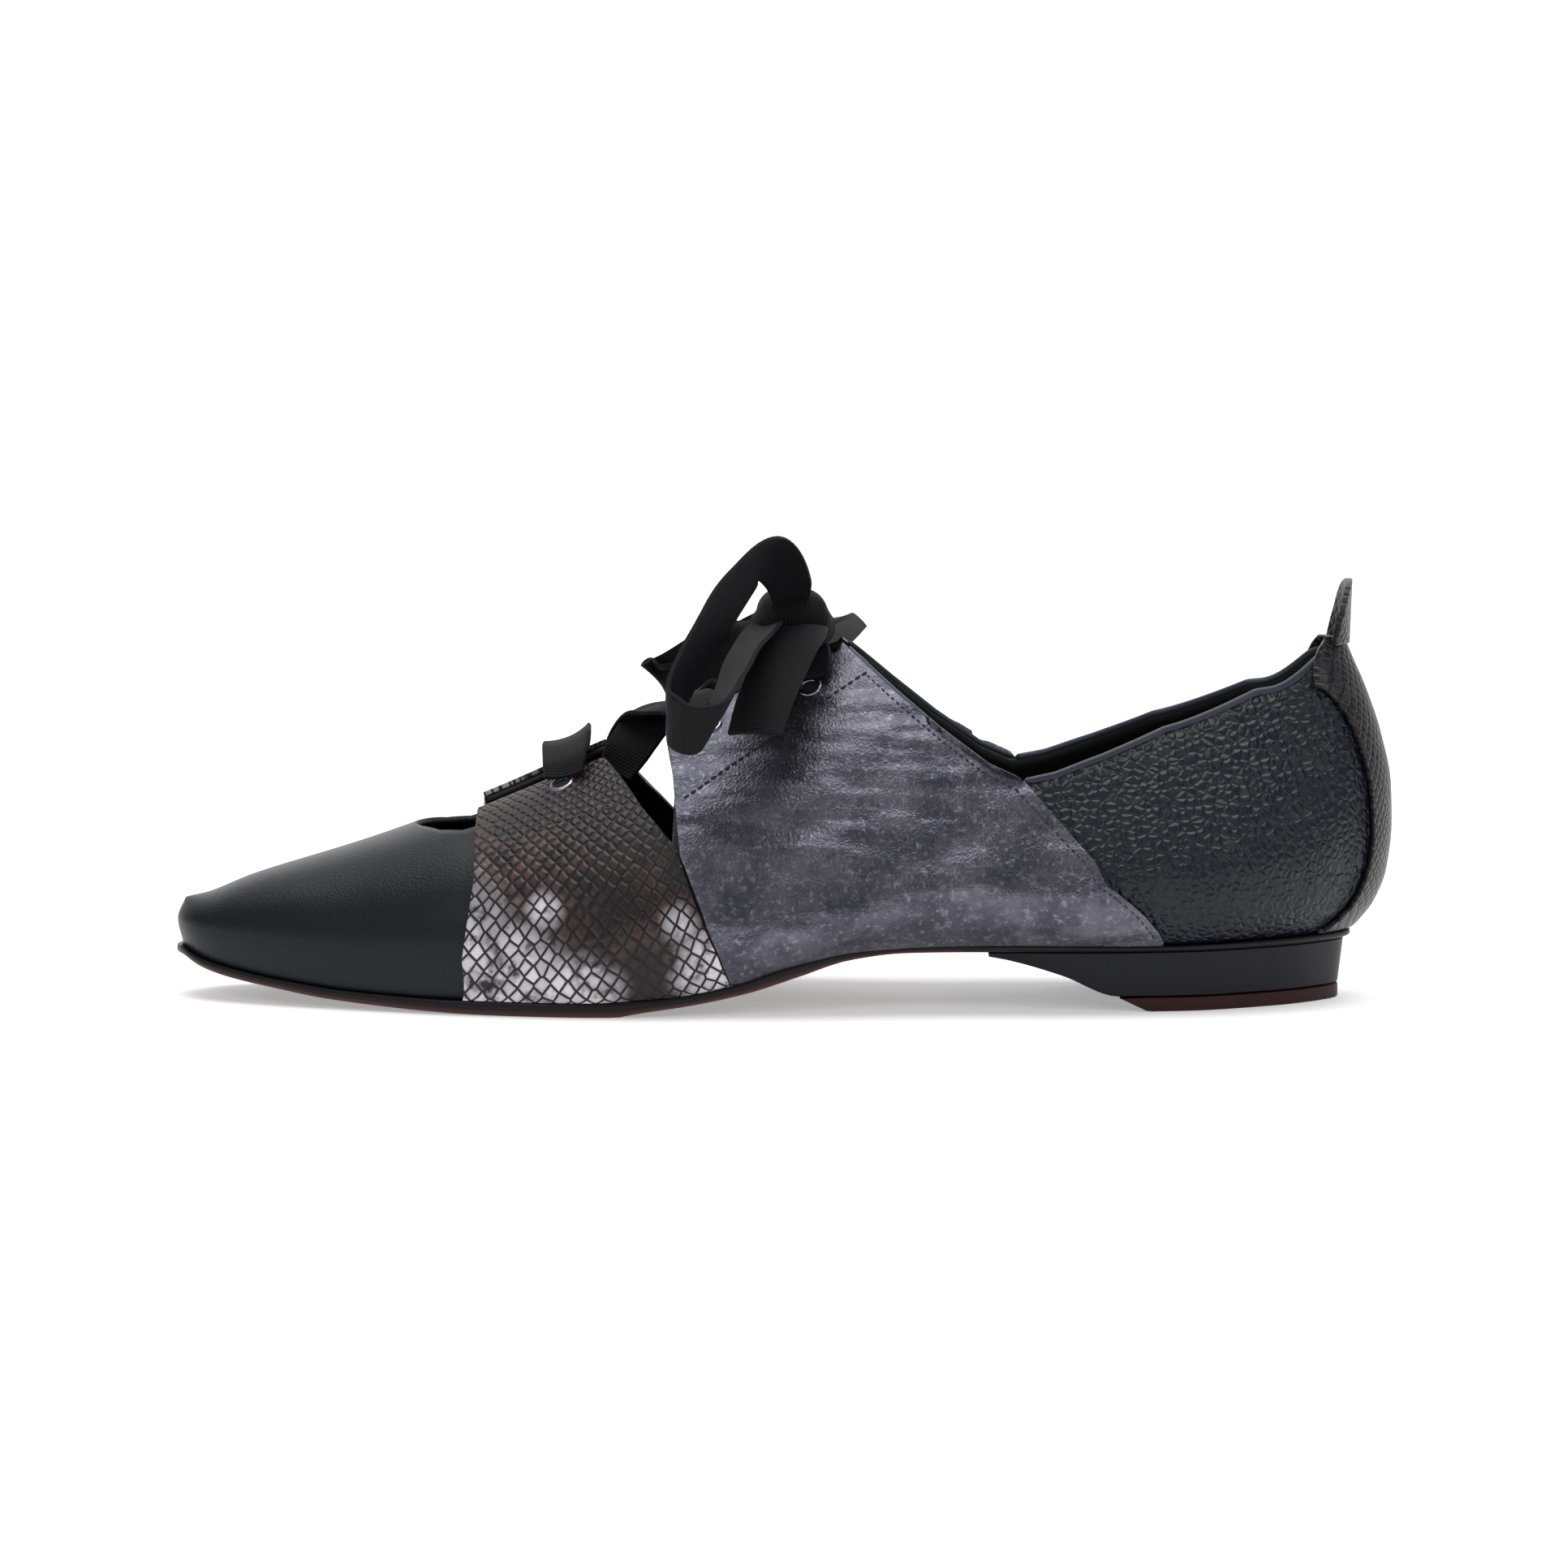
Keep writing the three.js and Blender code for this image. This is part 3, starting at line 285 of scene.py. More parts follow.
def crease_lift(points, side):
    """How far the creases push the surface out, in metres."""
    x = points[..., 0] / MM
    z = points[..., 2] / MM
    lift = np.zeros(x.shape)
    for hand, start, end, depth, width in CREASES:
        run = np.array([end[0] - start[0], end[1] - start[1]], float)
        length = np.hypot(*run)
        run /= length
        along = ((x - start[0]) * run[0] + (z - start[1]) * run[1]) / length
        away = (z - start[1]) * run[0] - (x - start[0]) * run[1]
        fade = np.clip(along + 0.25, 0, 0.5) * np.clip(1.25 - along, 0, 0.5) * 4
        fade = np.clip(fade, 0, 1)
        smooth = fade * fade * (3 - 2 * fade)
        lift -= np.where(side == hand, depth * MM * smooth * np.exp(-((away / width) ** 2)), 0)
    return lift


def skin_points(station, side, level, lift):
    """Points at a lift above the last, with the creases in."""
    points = last_points(station, side, level)
    normals = last_normals(station, side, level)
    total = lift + crease_lift(points, np.broadcast_to(side, points.shape[:-1]))
    return points + normals * total[..., None]


# %% [markdown]
# ## Finding a place on the last
# The photograph shows the panels' edges in side view or from above. A small search turns such
# a place, an x with a height or an x with a sideways offset, into a station and a level.

# %% Locate a place
SEARCH_STATIONS = np.linspace(0.002, 0.998, 260)
SEARCH_LEVELS = np.linspace(-1, 1, 140)
search_grid = {
    side: last_points(SEARCH_STATIONS[:, None], side, SEARCH_LEVELS[None, :]) for side in (-1, 1)
}


def locate(side, x, value, axis):
    """Station and level where the last has this x and this z (axis 2) or y from above (1)."""
    grid = search_grid[side]
    found = []
    for one_x, one_value in zip(np.atleast_1d(x), np.atleast_1d(value)):
        off = (grid[..., 0] - one_x) ** 2 + (grid[..., axis] - one_value) ** 2
        if axis == 1:
            off = off + (SEARCH_LEVELS < 0)
        i, j = np.unravel_index(np.argmin(off), off.shape)
        station, level = SEARCH_STATIONS[i], SEARCH_LEVELS[j]
        for _ in range(6):
            here = last_points(station, side, level)
            by_station = (last_points(station + 1e-4, side, level) - here) / 1e-4
            by_level = (here - last_points(station, side, level - 1e-4)) / 1e-4
            matrix = np.array([[by_station[0], by_level[0]], [by_station[axis], by_level[axis]]])
            if abs(np.linalg.det(matrix)) < 1e-9:
                break
            step = np.linalg.solve(matrix, [one_x - here[0], one_value - here[axis]])
            station = float(np.clip(station + np.clip(step[0], -0.02, 0.02), 0.001, 0.999))
            level = float(np.clip(level + np.clip(step[1], -0.05, 0.05), -1, 1))
        found.append((station, level))
    return np.array(found)


print("collar point:", np.round(locate(-1, 0.052, 0.0488, 2), 3))

# %% [markdown]
# ## Meshes from a grid
# Every leather piece here is a patch of the last. Blender's grid operator makes the faces, and
# each vertex is then moved to its place. A UV map in metres follows the leather, so that
# grain and print keep their size.


# %% Patch helper
def patch_mesh(bm, points, uv, flip=False):
    """Adds a grid to the bmesh and lays it on points[row, column], with a UV in metres."""
    if flip:
        points, uv = points[:, ::-1], uv[:, ::-1]
    rows, columns = points.shape[:2]
    made = bmesh.ops.create_grid(bm, x_segments=columns - 1, y_segments=rows - 1, size=0.5)
    layer = bm.loops.layers.uv.verify()
    spot = {}
    for vert in made["verts"]:
        column = round((vert.co.x + 0.5) * (columns - 1))
        row = round((vert.co.y + 0.5) * (rows - 1))
        spot[vert] = (row, column)
    for vert, (row, column) in spot.items():
        vert.co = points[row, column]
    for face in {face for vert in made["verts"] for face in vert.link_faces}:
        for loop in face.loops:
            loop[layer].uv = uv[spot[loop.vert]]
    return made["verts"]


def finish_mesh(bm, name, *materials):
    """Turns a bmesh into a smooth shaded object in the scene."""
    mesh = bpy.data.meshes.new(name)
    bm.to_mesh(mesh)
    bm.free()
    mesh.shade_smooth()
    for material in materials:
        mesh.materials.append(material)
    piece = bpy.data.objects.new(name, mesh)
    bpy.context.scene.collection.objects.link(piece)
    return piece


def add_solidify(piece, thickness, offset=-1.0, inside=0):
    """Thickness inwards; inside is how many material slots further on the hidden face is."""
    modifier = piece.modifiers.new("thickness", "SOLIDIFY")
    modifier.thickness = thickness
    modifier.offset = offset
    modifier.use_even_offset = False
    modifier.material_offset = inside
    modifier.material_offset_rim = inside
    return modifier


def add_bevel(piece, width, segments=2):
    modifier = piece.modifiers.new("rounded edge", "BEVEL")
    modifier.width = width
    modifier.segments = segments
    modifier.limit_method = "ANGLE"
    modifier.angle_limit = math.radians(50)
    modifier.harden_normals = False
    return modifier


# %% [markdown]
# ## Leather and trim finishes
# Each finish is a small node tree: a base colour, a roughness and a bump that stands for the
# grain. The pattern sizes are in metres.


# %% Node helpers
def new_material(name, colour, roughness, metallic=0.0):
    material = bpy.data.materials.new(name)
    material.use_nodes = True
    shader = material.node_tree.nodes["Principled BSDF"]
    shader.inputs["Base Color"].default_value = (*colour, 1)
    shader.inputs["Roughness"].default_value = roughness
    shader.inputs["Metallic"].default_value = metallic
    return material, material.node_tree, shader


def add_node(tree, kind, **settings):
    node = tree.nodes.new(kind)
    for key, value in settings.items():
        if key in node.inputs:
            node.inputs[key].default_value = value
        else:
            setattr(node, key, value)
    return node


def object_coordinates(tree):
    return tree.nodes.new("ShaderNodeTexCoord").outputs["Object"]


def uv_coordinates(tree):
    return tree.nodes.new("ShaderNodeTexCoord").outputs["UV"]


def bump_from(tree, shader, height, distance, strength=1.0):
    bump = add_node(tree, "ShaderNodeBump", Distance=distance, Strength=strength)
    tree.links.new(height, bump.inputs["Height"])
    tree.links.new(bump.outputs["Normal"], shader.inputs["Normal"])
    return bump


def scaled(tree, vector, size):
    node = tree.nodes.new("ShaderNodeVectorMath")
    node.operation = "MULTIPLY"
    tree.links.new(vector, node.inputs[0])
    node.inputs[1].default_value = size
    return node.outputs[0]


# %% Plain leathers
def mixed_number(tree, a, b, share):
    """Blend of two heights; share is a number or another output."""
    node = add_node(tree, "ShaderNodeMix", data_type="FLOAT")
    for socket, value in ((0, share), (2, a), (3, b)):
        if isinstance(value, (int, float)):
            node.inputs[socket].default_value = value
        else:
            tree.links.new(value, node.inputs[socket])
    return node.outputs[0]


def mixed_colour(tree, a, b, share):
    """Blend of two colours; each is a triple or another output."""
    node = add_node(tree, "ShaderNodeMix", data_type="RGBA")
    tree.links.new(share, node.inputs[0])
    for socket, value in ((6, a), (7, b)):
        if isinstance(value, tuple):
            node.inputs[socket].default_value = (*value, 1)
        else:
            tree.links.new(value, node.inputs[socket])
    return node.outputs[2]


def ranged(tree, value, low, high, to_low=0.0, to_high=1.0):
    """Maps low..high softly to another range."""
    node = tree.nodes.new("ShaderNodeMapRange")
    node.interpolation_type = "SMOOTHSTEP"
    tree.links.new(value, node.inputs["Value"])
    for name, number in (("From Min", low), ("From Max", high), ("To Min", to_low),
                         ("To Max", to_high)):
        node.inputs[name].default_value = number
    return node.outputs[0]


def voronoi(tree, vector, scale, feature="F1", randomness=1.0):
    node = add_node(tree, "ShaderNodeTexVoronoi", feature=feature, Scale=scale,
                    Randomness=randomness)
    tree.links.new(vector, node.inputs["Vector"])
    return node.outputs


def noise(tree, vector, scale, detail=3.0, roughness=0.6):
    node = add_node(tree, "ShaderNodeTexNoise", Scale=scale, Detail=detail,
                    Roughness=roughness)
    tree.links.new(vector, node.inputs["Vector"])
    return node.outputs["Fac"]


def leather(name, colour, roughness, cell, relief, pebble=0.5, shine=0.22):
    """Grained leather: pebbles of one cell size with a finer noise over them."""
    material, tree, shader = new_material(name, colour, roughness)
    place = object_coordinates(tree)
    cells = voronoi(tree, place, 1 / cell, "DISTANCE_TO_EDGE")["Distance"]
    pebbles = ranged(tree, cells, 0.0, 0.35)
    fine = noise(tree, place, 2.5 / cell)
    bump_from(tree, shader, mixed_number(tree, fine, pebbles, pebble), relief)
    shader.inputs["Specular IOR Level"].default_value = shine
    return material


vamp_leather = leather("vamp_leather", (0.0058, 0.0064, 0.0105), 0.4, 0.9 * MM, 0.07 * MM, 0.4)
counter_leather = leather("counter_leather", (0.0042, 0.0052, 0.0105), 0.34, 1.9 * MM,
                          0.42 * MM, 0.7, 0.32)
sole_leather = leather("sole_leather", (0.004, 0.0036, 0.0042), 0.42, 0.8 * MM, 0.02 * MM)
heel_leather = leather("heel_leather", (0.0042, 0.0046, 0.0075), 0.42, 0.9 * MM, 0.05 * MM)
lining_leather = leather("lining_leather", (0.004, 0.004, 0.0048), 0.55, 0.8 * MM, 0.03 * MM)
lift_rubber = leather("lift_rubber", (0.028, 0.006, 0.007), 0.5, 0.8 * MM, 0.03 * MM)
sole_underside = leather("sole_underside", (0.045, 0.010, 0.009), 0.5, 0.8 * MM, 0.03 * MM)
dark_thread = leather("dark_thread", (0.02, 0.02, 0.028), 0.5, 0.3 * MM, 0.02 * MM)
pale_thread = leather("pale_thread", (0.07, 0.06, 0.06), 0.5, 0.3 * MM, 0.02 * MM)
# A real bound edge; its lighter, bluish colour is a painted highlight along the rolled edges.
piping_leather = leather("piping_leather", (0.03, 0.033, 0.05), 0.3, 0.8 * MM, 0.02 * MM)

# %% [markdown]
# ## Patterned finishes
# The foil has a fine crumple with painted highlights on its peaks, long soft waves and rubbed
# places. The snake print is a field of cells with dark gaps, coloured by pale and dark patches
# whose places follow the picture. The ribbon has ribs across it, and the insole an oval pressed
# into the heel seat, with painted shade in its groove.


# %% Metallic leather
def metallic_finish():
    """Foiled kid leather: fine crumple with painted highlights on its peaks, soft broad waves and
    a paler rub in places.
    """
    material, tree, shader = new_material("metallic_leather", (0.1, 0.1, 0.11), 0.36, 0.92)
    place = object_coordinates(tree)
    crumple = noise(tree, place, 1 / (1.3 * MM), 6.0, 0.65)
    cells = ranged(tree, voronoi(tree, place, 1 / (1.0 * MM), "DISTANCE_TO_EDGE")["Distance"],
                   0.0, 0.3)
    waves = noise(tree, scaled(tree, place, (0.45, 1, 1.5)), 1 / (16 * MM), 2.0, 0.5)
    height = mixed_number(tree, crumple, cells, 0.25)
    fine = add_node(tree, "ShaderNodeBump", Distance=0.16 * MM)
    tree.links.new(height, fine.inputs["Height"])
    broad = add_node(tree, "ShaderNodeBump", Distance=3.2 * MM)
    tree.links.new(waves, broad.inputs["Height"])
    tree.links.new(fine.outputs["Normal"], broad.inputs["Normal"])
    tree.links.new(broad.outputs["Normal"], shader.inputs["Normal"])
    rub = noise(tree, place, 1 / (11 * MM), 5.0, 0.7)
    shade = mixed_colour(tree, (0.06, 0.059, 0.078), (0.125, 0.12, 0.148),
                         ranged(tree, rub, 0.36, 0.66))
    # Painted highlight: the colour turns lighter on the crumple's peaks.
    crumple_painted_highlight = ranged(tree, crumple, 0.5, 0.75)
    shade = mixed_colour(tree, shade, (0.23, 0.22, 0.26), crumple_painted_highlight)
    tree.links.new(shade, shader.inputs["Base Color"])
    return material


metallic_leather = metallic_finish()
eyelet_metal, _, _ = new_material("eyelet_metal", (0.3, 0.3, 0.33), 0.26, 1.0)
# Painted shade: a near-black disc inside each eyelet ring.
hole_dark, _, _ = new_material("hole_dark", (0.002, 0.002, 0.002), 0.9)


# %% Printed leather
def spot(tree, place, centre, radius, squeeze=(1, 1, 1)):
    """A soft round spot of value 1 at a given centre, in mm."""
    shift = tree.nodes.new("ShaderNodeVectorMath")
    shift.operation = "SUBTRACT"
    tree.links.new(place, shift.inputs[0])
    shift.inputs[1].default_value = [v * MM for v in centre]
    stretch = scaled(tree, shift.outputs[0], squeeze)
    length = tree.nodes.new("ShaderNodeVectorMath")
    length.operation = "LENGTH"
    tree.links.new(stretch, length.inputs[0])
    return ranged(tree, length.outputs["Value"], 0.35 * radius * MM, radius * MM, 1.0, 0.0)


def highest(tree, values):
    """The largest of several outputs."""
    top = values[0]
    for value in values[1:]:
        node = tree.nodes.new("ShaderNodeMath")
        node.operation = "MAXIMUM"
        tree.links.new(top, node.inputs[0])
        tree.links.new(value, node.inputs[1])
        top = node.outputs[0]
    return top


# Pale patches: centre in mm, radius in mm and how each axis is squeezed.
PALE_SPOTS = (
    ((-68, -30, 8), 21, (1, 1, 0.8)), ((-58, -36, 8), 17, (1, 1, 1)),
    ((-64, -26, 24), 8, (1.2, 1, 0.8)), ((-44, -41, 5), 11, (0.8, 1, 1)),
    ((-50, -36, 22), 6, (1, 1, 1)), ((-15, -40, 10), 11, (1, 1, 0.9)),
    ((-22, -38, 20), 6, (1, 1, 1)), ((-62, 26, 38), 20, (1, 1, 1)),
    ((-66, 38, 20), 14, (1, 1, 1)), ((-46, 40, 14), 10, (1, 1, 1)),
)
DARK_SPOTS = (
    ((-54, -34, 14), 5, (0.6, 1, 1.4)), ((-60, -34, 18), 4, (1, 1, 1)), ((-46, -36, 15), 7, (1, 1, 1)),
    ((-32, -26, 42), 22, (0.8, 1, 1)), ((-36, -34, 24), 15, (1, 1, 1)),
    ((-30, -40, 8), 11, (1, 1, 1)), ((-20, -36, 32), 9, (1, 1, 1)), ((-54, -20, 42), 11, (1, 1, 1)),
    ((-22, 34, 30), 16, (1, 1, 1)),
)


def printed_finish(name, pale_spots, dark_spots, dark, middle, pale, size, gloss):
    """Snake print: rows of small scales with dark gaps, coloured by soft patches."""
    material, tree, shader = new_material(name, middle, gloss)
    uv = uv_coordinates(tree)
    place = object_coordinates(tree)
    turn = add_node(tree, "ShaderNodeMapping")
    turn.inputs["Rotation"].default_value = (0, 0, math.radians(38))
    turn.inputs["Scale"].default_value = (1.0, 0.82, 1.0)
    tree.links.new(uv, turn.inputs["Vector"])
    edges = voronoi(tree, turn.outputs[0], 1 / size, "DISTANCE_TO_EDGE", 0.28)["Distance"]
    each = voronoi(tree, turn.outputs[0], 1 / size, "F1", 0.28)["Color"]
    grain = noise(tree, place, 1 / (1.2 * MM), 4.0)
    blot = noise(tree, place, 1 / (5 * MM), 3.0, 0.6)
    base = mixed_colour(tree, dark, middle, ranged(tree, blot, 0.35, 0.62))
    if dark_spots:
        shade = highest(tree, [spot(tree, place, *row) for row in dark_spots])
        base = mixed_colour(tree, base, dark, shade)
    if pale_spots:
        light = highest(tree, [spot(tree, place, *row) for row in pale_spots])
        ragged = tree.nodes.new("ShaderNodeMath")
        ragged.operation = "MULTIPLY"
        tree.links.new(light, ragged.inputs[0])
        tree.links.new(ranged(tree, blot, 0.3, 0.55), ragged.inputs[1])
        base = mixed_colour(tree, base, pale, ragged.outputs[0])
    split = add_node(tree, "ShaderNodeSeparateColor")
    tree.links.new(each, split.inputs[0])
    varied = mixed_colour(tree, base, (0.02, 0.015, 0.016),
                          ranged(tree, split.outputs[0], 0.0, 1.0, 0.0, 0.3))
    gap = ranged(tree, edges, 0.05, 0.15)
    tree.links.new(mixed_colour(tree, (0.004, 0.003, 0.004), varied, gap),
                   shader.inputs["Base Color"])
    dome = ranged(tree, edges, 0.0, 0.3)
    bump_from(tree, shader, mixed_number(tree, dome, grain, 0.15), 0.28 * MM)
    shader.inputs["Specular IOR Level"].default_value = 0.3
    return material


snake_leather = printed_finish("snake_leather", PALE_SPOTS, DARK_SPOTS, (0.012, 0.0065, 0.008),
                               (0.075, 0.036, 0.038), (0.66, 0.64, 0.68), 1.0, 0.36)
strip_leather = printed_finish("strip_leather", (), (), (0.003, 0.003, 0.004),
                               (0.022, 0.021, 0.024), (0.2, 0.2, 0.2), 1.5 * MM, 0.3)


# %% Woven ribbon and insole
def ribbon_finish():
    """Matt black tape with fine ribs across it."""
    material, tree, shader = new_material("ribbon_weave", (0.0022, 0.0022, 0.0028), 0.7)
    split = add_node(tree, "ShaderNodeSeparateXYZ")
    tree.links.new(uv_coordinates(tree), split.inputs[0])
    wave = tree.nodes.new("ShaderNodeMath")
    wave.operation = "SINE"
    ribs = tree.nodes.new("ShaderNodeMath")
    ribs.operation = "MULTIPLY"
    ribs.inputs[1].default_value = 2 * math.pi / (0.7 * MM)
    tree.links.new(split.outputs[1], ribs.inputs[0])
    tree.links.new(ribs.outputs[0], wave.inputs[0])
    fuzz = noise(tree, object_coordinates(tree), 1 / (0.6 * MM), 3.0)
    bump_from(tree, shader, mixed_number(tree, wave.outputs[0], fuzz, 0.4), 0.09 * MM)
    shader.inputs["Specular IOR Level"].default_value = 0.16
    shader.inputs["Sheen Weight"].default_value = 0.03
    shader.inputs["Sheen Roughness"].default_value = 0.5
    shader.inputs["Sheen Tint"].default_value = (0.75, 0.75, 0.9, 1)
    return material


def insole_finish():
    """Brown-black lining leather with an oval pad pressed into the heel seat and painted shade in its
    groove.
    """
    material, tree, shader = new_material("insole_leather", (0.02, 0.017, 0.015), 0.45)
    shader.inputs["Specular IOR Level"].default_value = 0.25
    place = object_coordinates(tree)
    shift = tree.nodes.new("ShaderNodeVectorMath")
    shift.operation = "SUBTRACT"
    shift.inputs[1].default_value = (68 * MM, 0.5 * MM, 0)
    tree.links.new(place, shift.inputs[0])
    stretch = scaled(tree, shift.outputs[0], (1 / 41, 1 / 15.5, 0))
    length = tree.nodes.new("ShaderNodeVectorMath")
    length.operation = "LENGTH"
    tree.links.new(stretch, length.inputs[0])
    reach = length.outputs["Value"]
    groove = ranged(tree, reach, 0.86 * MM, 0.96 * MM, 0.0, 1.0)
    rim = ranged(tree, reach, 0.96 * MM, 1.08 * MM, 1.0, 0.0)
    ring = tree.nodes.new("ShaderNodeMath")
    ring.operation = "MULTIPLY"
    tree.links.new(groove, ring.inputs[0])
    tree.links.new(rim, ring.inputs[1])
    fine = noise(tree, place, 1 / (0.9 * MM), 4.0)
    pressed = add_node(tree, "ShaderNodeBump", Distance=0.9 * MM, invert=True)
    tree.links.new(ring.outputs[0], pressed.inputs["Height"])
    grain = add_node(tree, "ShaderNodeBump", Distance=0.05 * MM)
    tree.links.new(fine, grain.inputs["Height"])
    tree.links.new(grain.outputs["Normal"], pressed.inputs["Normal"])
    tree.links.new(pressed.outputs["Normal"], shader.inputs["Normal"])
    worn = noise(tree, place, 1 / (14 * MM), 4.0)
    shade = mixed_colour(tree, (0.009, 0.0078, 0.0072), (0.024, 0.021, 0.0185),
                         ranged(tree, worn, 0.35, 0.65))
    # Painted shade: the colour of the pressed groove is darkened.
    tree.links.new(mixed_colour(tree, shade, (0.004, 0.0036, 0.0034), ring.outputs[0]),
                   shader.inputs["Base Color"])
    return material


ribbon_weave = ribbon_finish()
insole_leather = insole_finish()
print("finishes:", len(bpy.data.materials))

# %% [markdown]
# ## The upper
# The upper is one wall with one long opening: the cut-out in front of the ribbon, the throat
# between the bands, the gap behind them, the facings and the collar. The opening's edge is
# read as one line per side, and the grid's columns end on it.

# %% The opening's edge
# Rows: x in mm, what the value is, and the value in mm. y is read from above, z from the side.
OPENING = {
    -1: (
        (-79.6, "y", 4.5), (-79.3, "y", 0.5), (-77.8, "y", -4.4), (-73.6, "y", -11.6),
        (-68.6, "y", -15.6), (-65.8, "y", -16.0), (-65.2, "y", -10.5), (-38.3, "y", -10.5),
        (-37.6, "z", 52.0), (-30.0, "z", 43.5), (-23.5, "z", 36.5), (-21.8, "y", -5.0),
        (-10.0, "y", -2.2), (9.0, "y", 0.0), (12.5, "y", -1.0), (16.2, "z", 73.0),
        (23.6, "z", 66.6), (33.0, "z", 59.0), (43.2, "z", 51.8), (49.9, "z", 48.8),
        (57.6, "z", 50.4), (68.1, "z", 54.2), (81.0, "z", 59.5), (101.0, "z", 67.0),
        (112.0, "z", 71.8), (118.0, "z", 74.7),
    ),
    1: (
        (-79.6, "y", 4.6), (-79.3, "y", 8.5), (-77.8, "y", 13.6), (-73.6, "y", 21.0),
        (-68.6, "y", 25.2), (-65.8, "y", 25.6), (-65.2, "y", 16.0), (-38.3, "y", 16.0),
        (-37.6, "z", 52.0), (-30.0, "z", 43.5), (-23.5, "z", 36.5), (-21.8, "y", 15.8),
        (-10.0, "y", 17.2), (9.0, "y", 19.6), (12.5, "y", 21.2), (16.2, "z", 73.0),
        (23.6, "z", 66.6), (33.0, "z", 59.0), (43.2, "z", 51.8), (49.9, "z", 48.8),
        (57.6, "z", 50.4), (68.1, "z", 54.2), (81.0, "z", 59.5), (101.0, "z", 67.0),
        (112.0, "z", 71.8), (118.0, "z", 74.7),
    ),
}
BACK_TOP = 75.8 * MM


def opening_line(side):
    """Stations and levels of the opening's edge, from the toe cut-out to the heel's back."""
    found = []
    for x, kind, value in OPENING[side]:
        found.append(locate(side, x * MM, value * MM, 1 if kind == "y" else 2)[0])
    levels = np.linspace(0, 1, 400)
    heights = last_points(0.9995, side, levels)[:, 2]
    found.append((1.0, float(np.interp(BACK_TOP, heights, levels))))
    found = np.array(found)
    found[0, 1] = 1.0
    return found


opening = {side: opening_line(side) for side in (-1, 1)}


def opening_level(side, station):
    line = opening[side]
    level = np.interp(station, line[:, 0], line[:, 1])
    return np.where(station < line[0, 0], 1.0, level)


print("opening starts at station", round(float(opening[-1][0, 0]), 4))

# %% Wall of the upper
UPPER_STATIONS = 190
UPPER_LEVELS = 44
COUNTER_START = 20 * MM


def section_arc(side, station, level):
    """Length of leather from the seat up to a level, for the UV map."""
    levels = np.linspace(-1, 1, 60)
    rows = np.linspace(0, 1, 80)
    grid = last_points(rows[:, None], side, levels[None, :])
    steps = np.linalg.norm(np.diff(grid, axis=1), axis=2)
    arc = np.concatenate([np.zeros((80, 1)), np.cumsum(steps, axis=1)], axis=1)
    row = np.clip(station, 0, 1) * 79
    column = (np.clip(level, -1, 1) + 1) / 2 * 59
    i = np.clip(row.astype(int), 0, 78)
    j = np.clip(column.astype(int), 0, 58)
    s = row - i
    t = column - j
    low = arc[i, j] * (1 - t) + arc[i, j + 1] * t
    high = arc[i + 1, j] * (1 - t) + arc[i + 1, j + 1] * t
    return low * (1 - s) + high * s


def leather_uv(side, station, level):
    x = last_points(station, side, level)[..., 0]
    return np.stack([x, section_arc(side, station, level)], axis=-1)


corner_stations = np.concatenate([opening[-1][:, 0], opening[1][:, 0]])
stations = np.concatenate([np.linspace(0, 1, UPPER_STATIONS), corner_stations])
stations = np.unique(np.round(np.clip(stations, 0, 1), 4))
columns = np.linspace(0, 1, UPPER_LEVELS)

bm = bmesh.new()
for side in (-1, 1):
    top = opening_level(side, stations)
    level = -1 + (top[:, None] + 1) * columns[None, :]
    station = np.broadcast_to(stations[:, None], level.shape)
    points = skin_points(station, side, level, 0.0)
    patch_mesh(bm, points, leather_uv(side, station, level), flip=side < 0)
bmesh.ops.remove_doubles(bm, verts=bm.verts, dist=0.02 * MM)
bmesh.ops.dissolve_degenerate(bm, edges=bm.edges, dist=0.01 * MM)
upper = finish_mesh(bm, "upper_leather", vamp_leather, counter_leather, lining_leather)
for face in upper.data.polygons:
    face.material_index = 1 if face.center.x > COUNTER_START else 0
add_solidify(upper, WALL, inside=2)
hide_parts("upper")
print("upper faces:", len(upper.data.polygons))

# %% [markdown]
# ## Panels on the upper
# The printed bands, the metallic quarters and the strip at the heel are cut flat and stitched
# on. Each panel has four sides, drawn as lines on the last. A blend of the four sides fills
# the panel, and a solidify gives it the leather's thickness.


# %% Panel helpers
SCALE_SIZE = 2.6
SCALE_SHRINK = 0.017


def line_on_last(side, rows):
    """Rows of x, what the value is, and the value in mm, turned into stations and levels."""
    found = []
    for before, after in zip(rows[:-1], rows[1:]):
        if before[1] != after[1]:
            found.append(locate(side, before[0] * MM, before[2] * MM, 1 if before[1] == "y" else 2))
            continue
        share = np.linspace(0, 1, 5)[:-1]
        x = before[0] + (after[0] - before[0]) * share
        value = before[2] + (after[2] - before[2]) * share
        found.append(locate(side, x * MM, value * MM, 1 if before[1] == "y" else 2))
    end = rows[-1]
    found.append(locate(side, end[0] * MM, end[2] * MM, 1 if end[1] == "y" else 2))
    return np.concatenate(found)


def spaced(side, line, shares):
    """Points of a line at shares of its real length."""
    places = last_points(line[:, 0], side, line[:, 1])
    steps = np.linalg.norm(np.diff(places, axis=0), axis=1)
    along = np.concatenate([[0], np.cumsum(steps)])
    along /= along[-1]
    station = np.interp(shares, along, line[:, 0])
    level = np.interp(shares, along, line[:, 1])
    return np.stack([station, level], axis=-1)


def corner_share(side, line, corner):
    """Share of the line's real length at which the corner lies."""
    places = last_points(line[:, 0], side, line[:, 1])
    steps = np.linalg.norm(np.diff(places, axis=0), axis=1)
    along = np.concatenate([[0], np.cumsum(steps)])
    nearest = np.argmin(np.linalg.norm(places[:, [0, 2]] - corner, axis=1))
    return along[nearest] / along[-1]


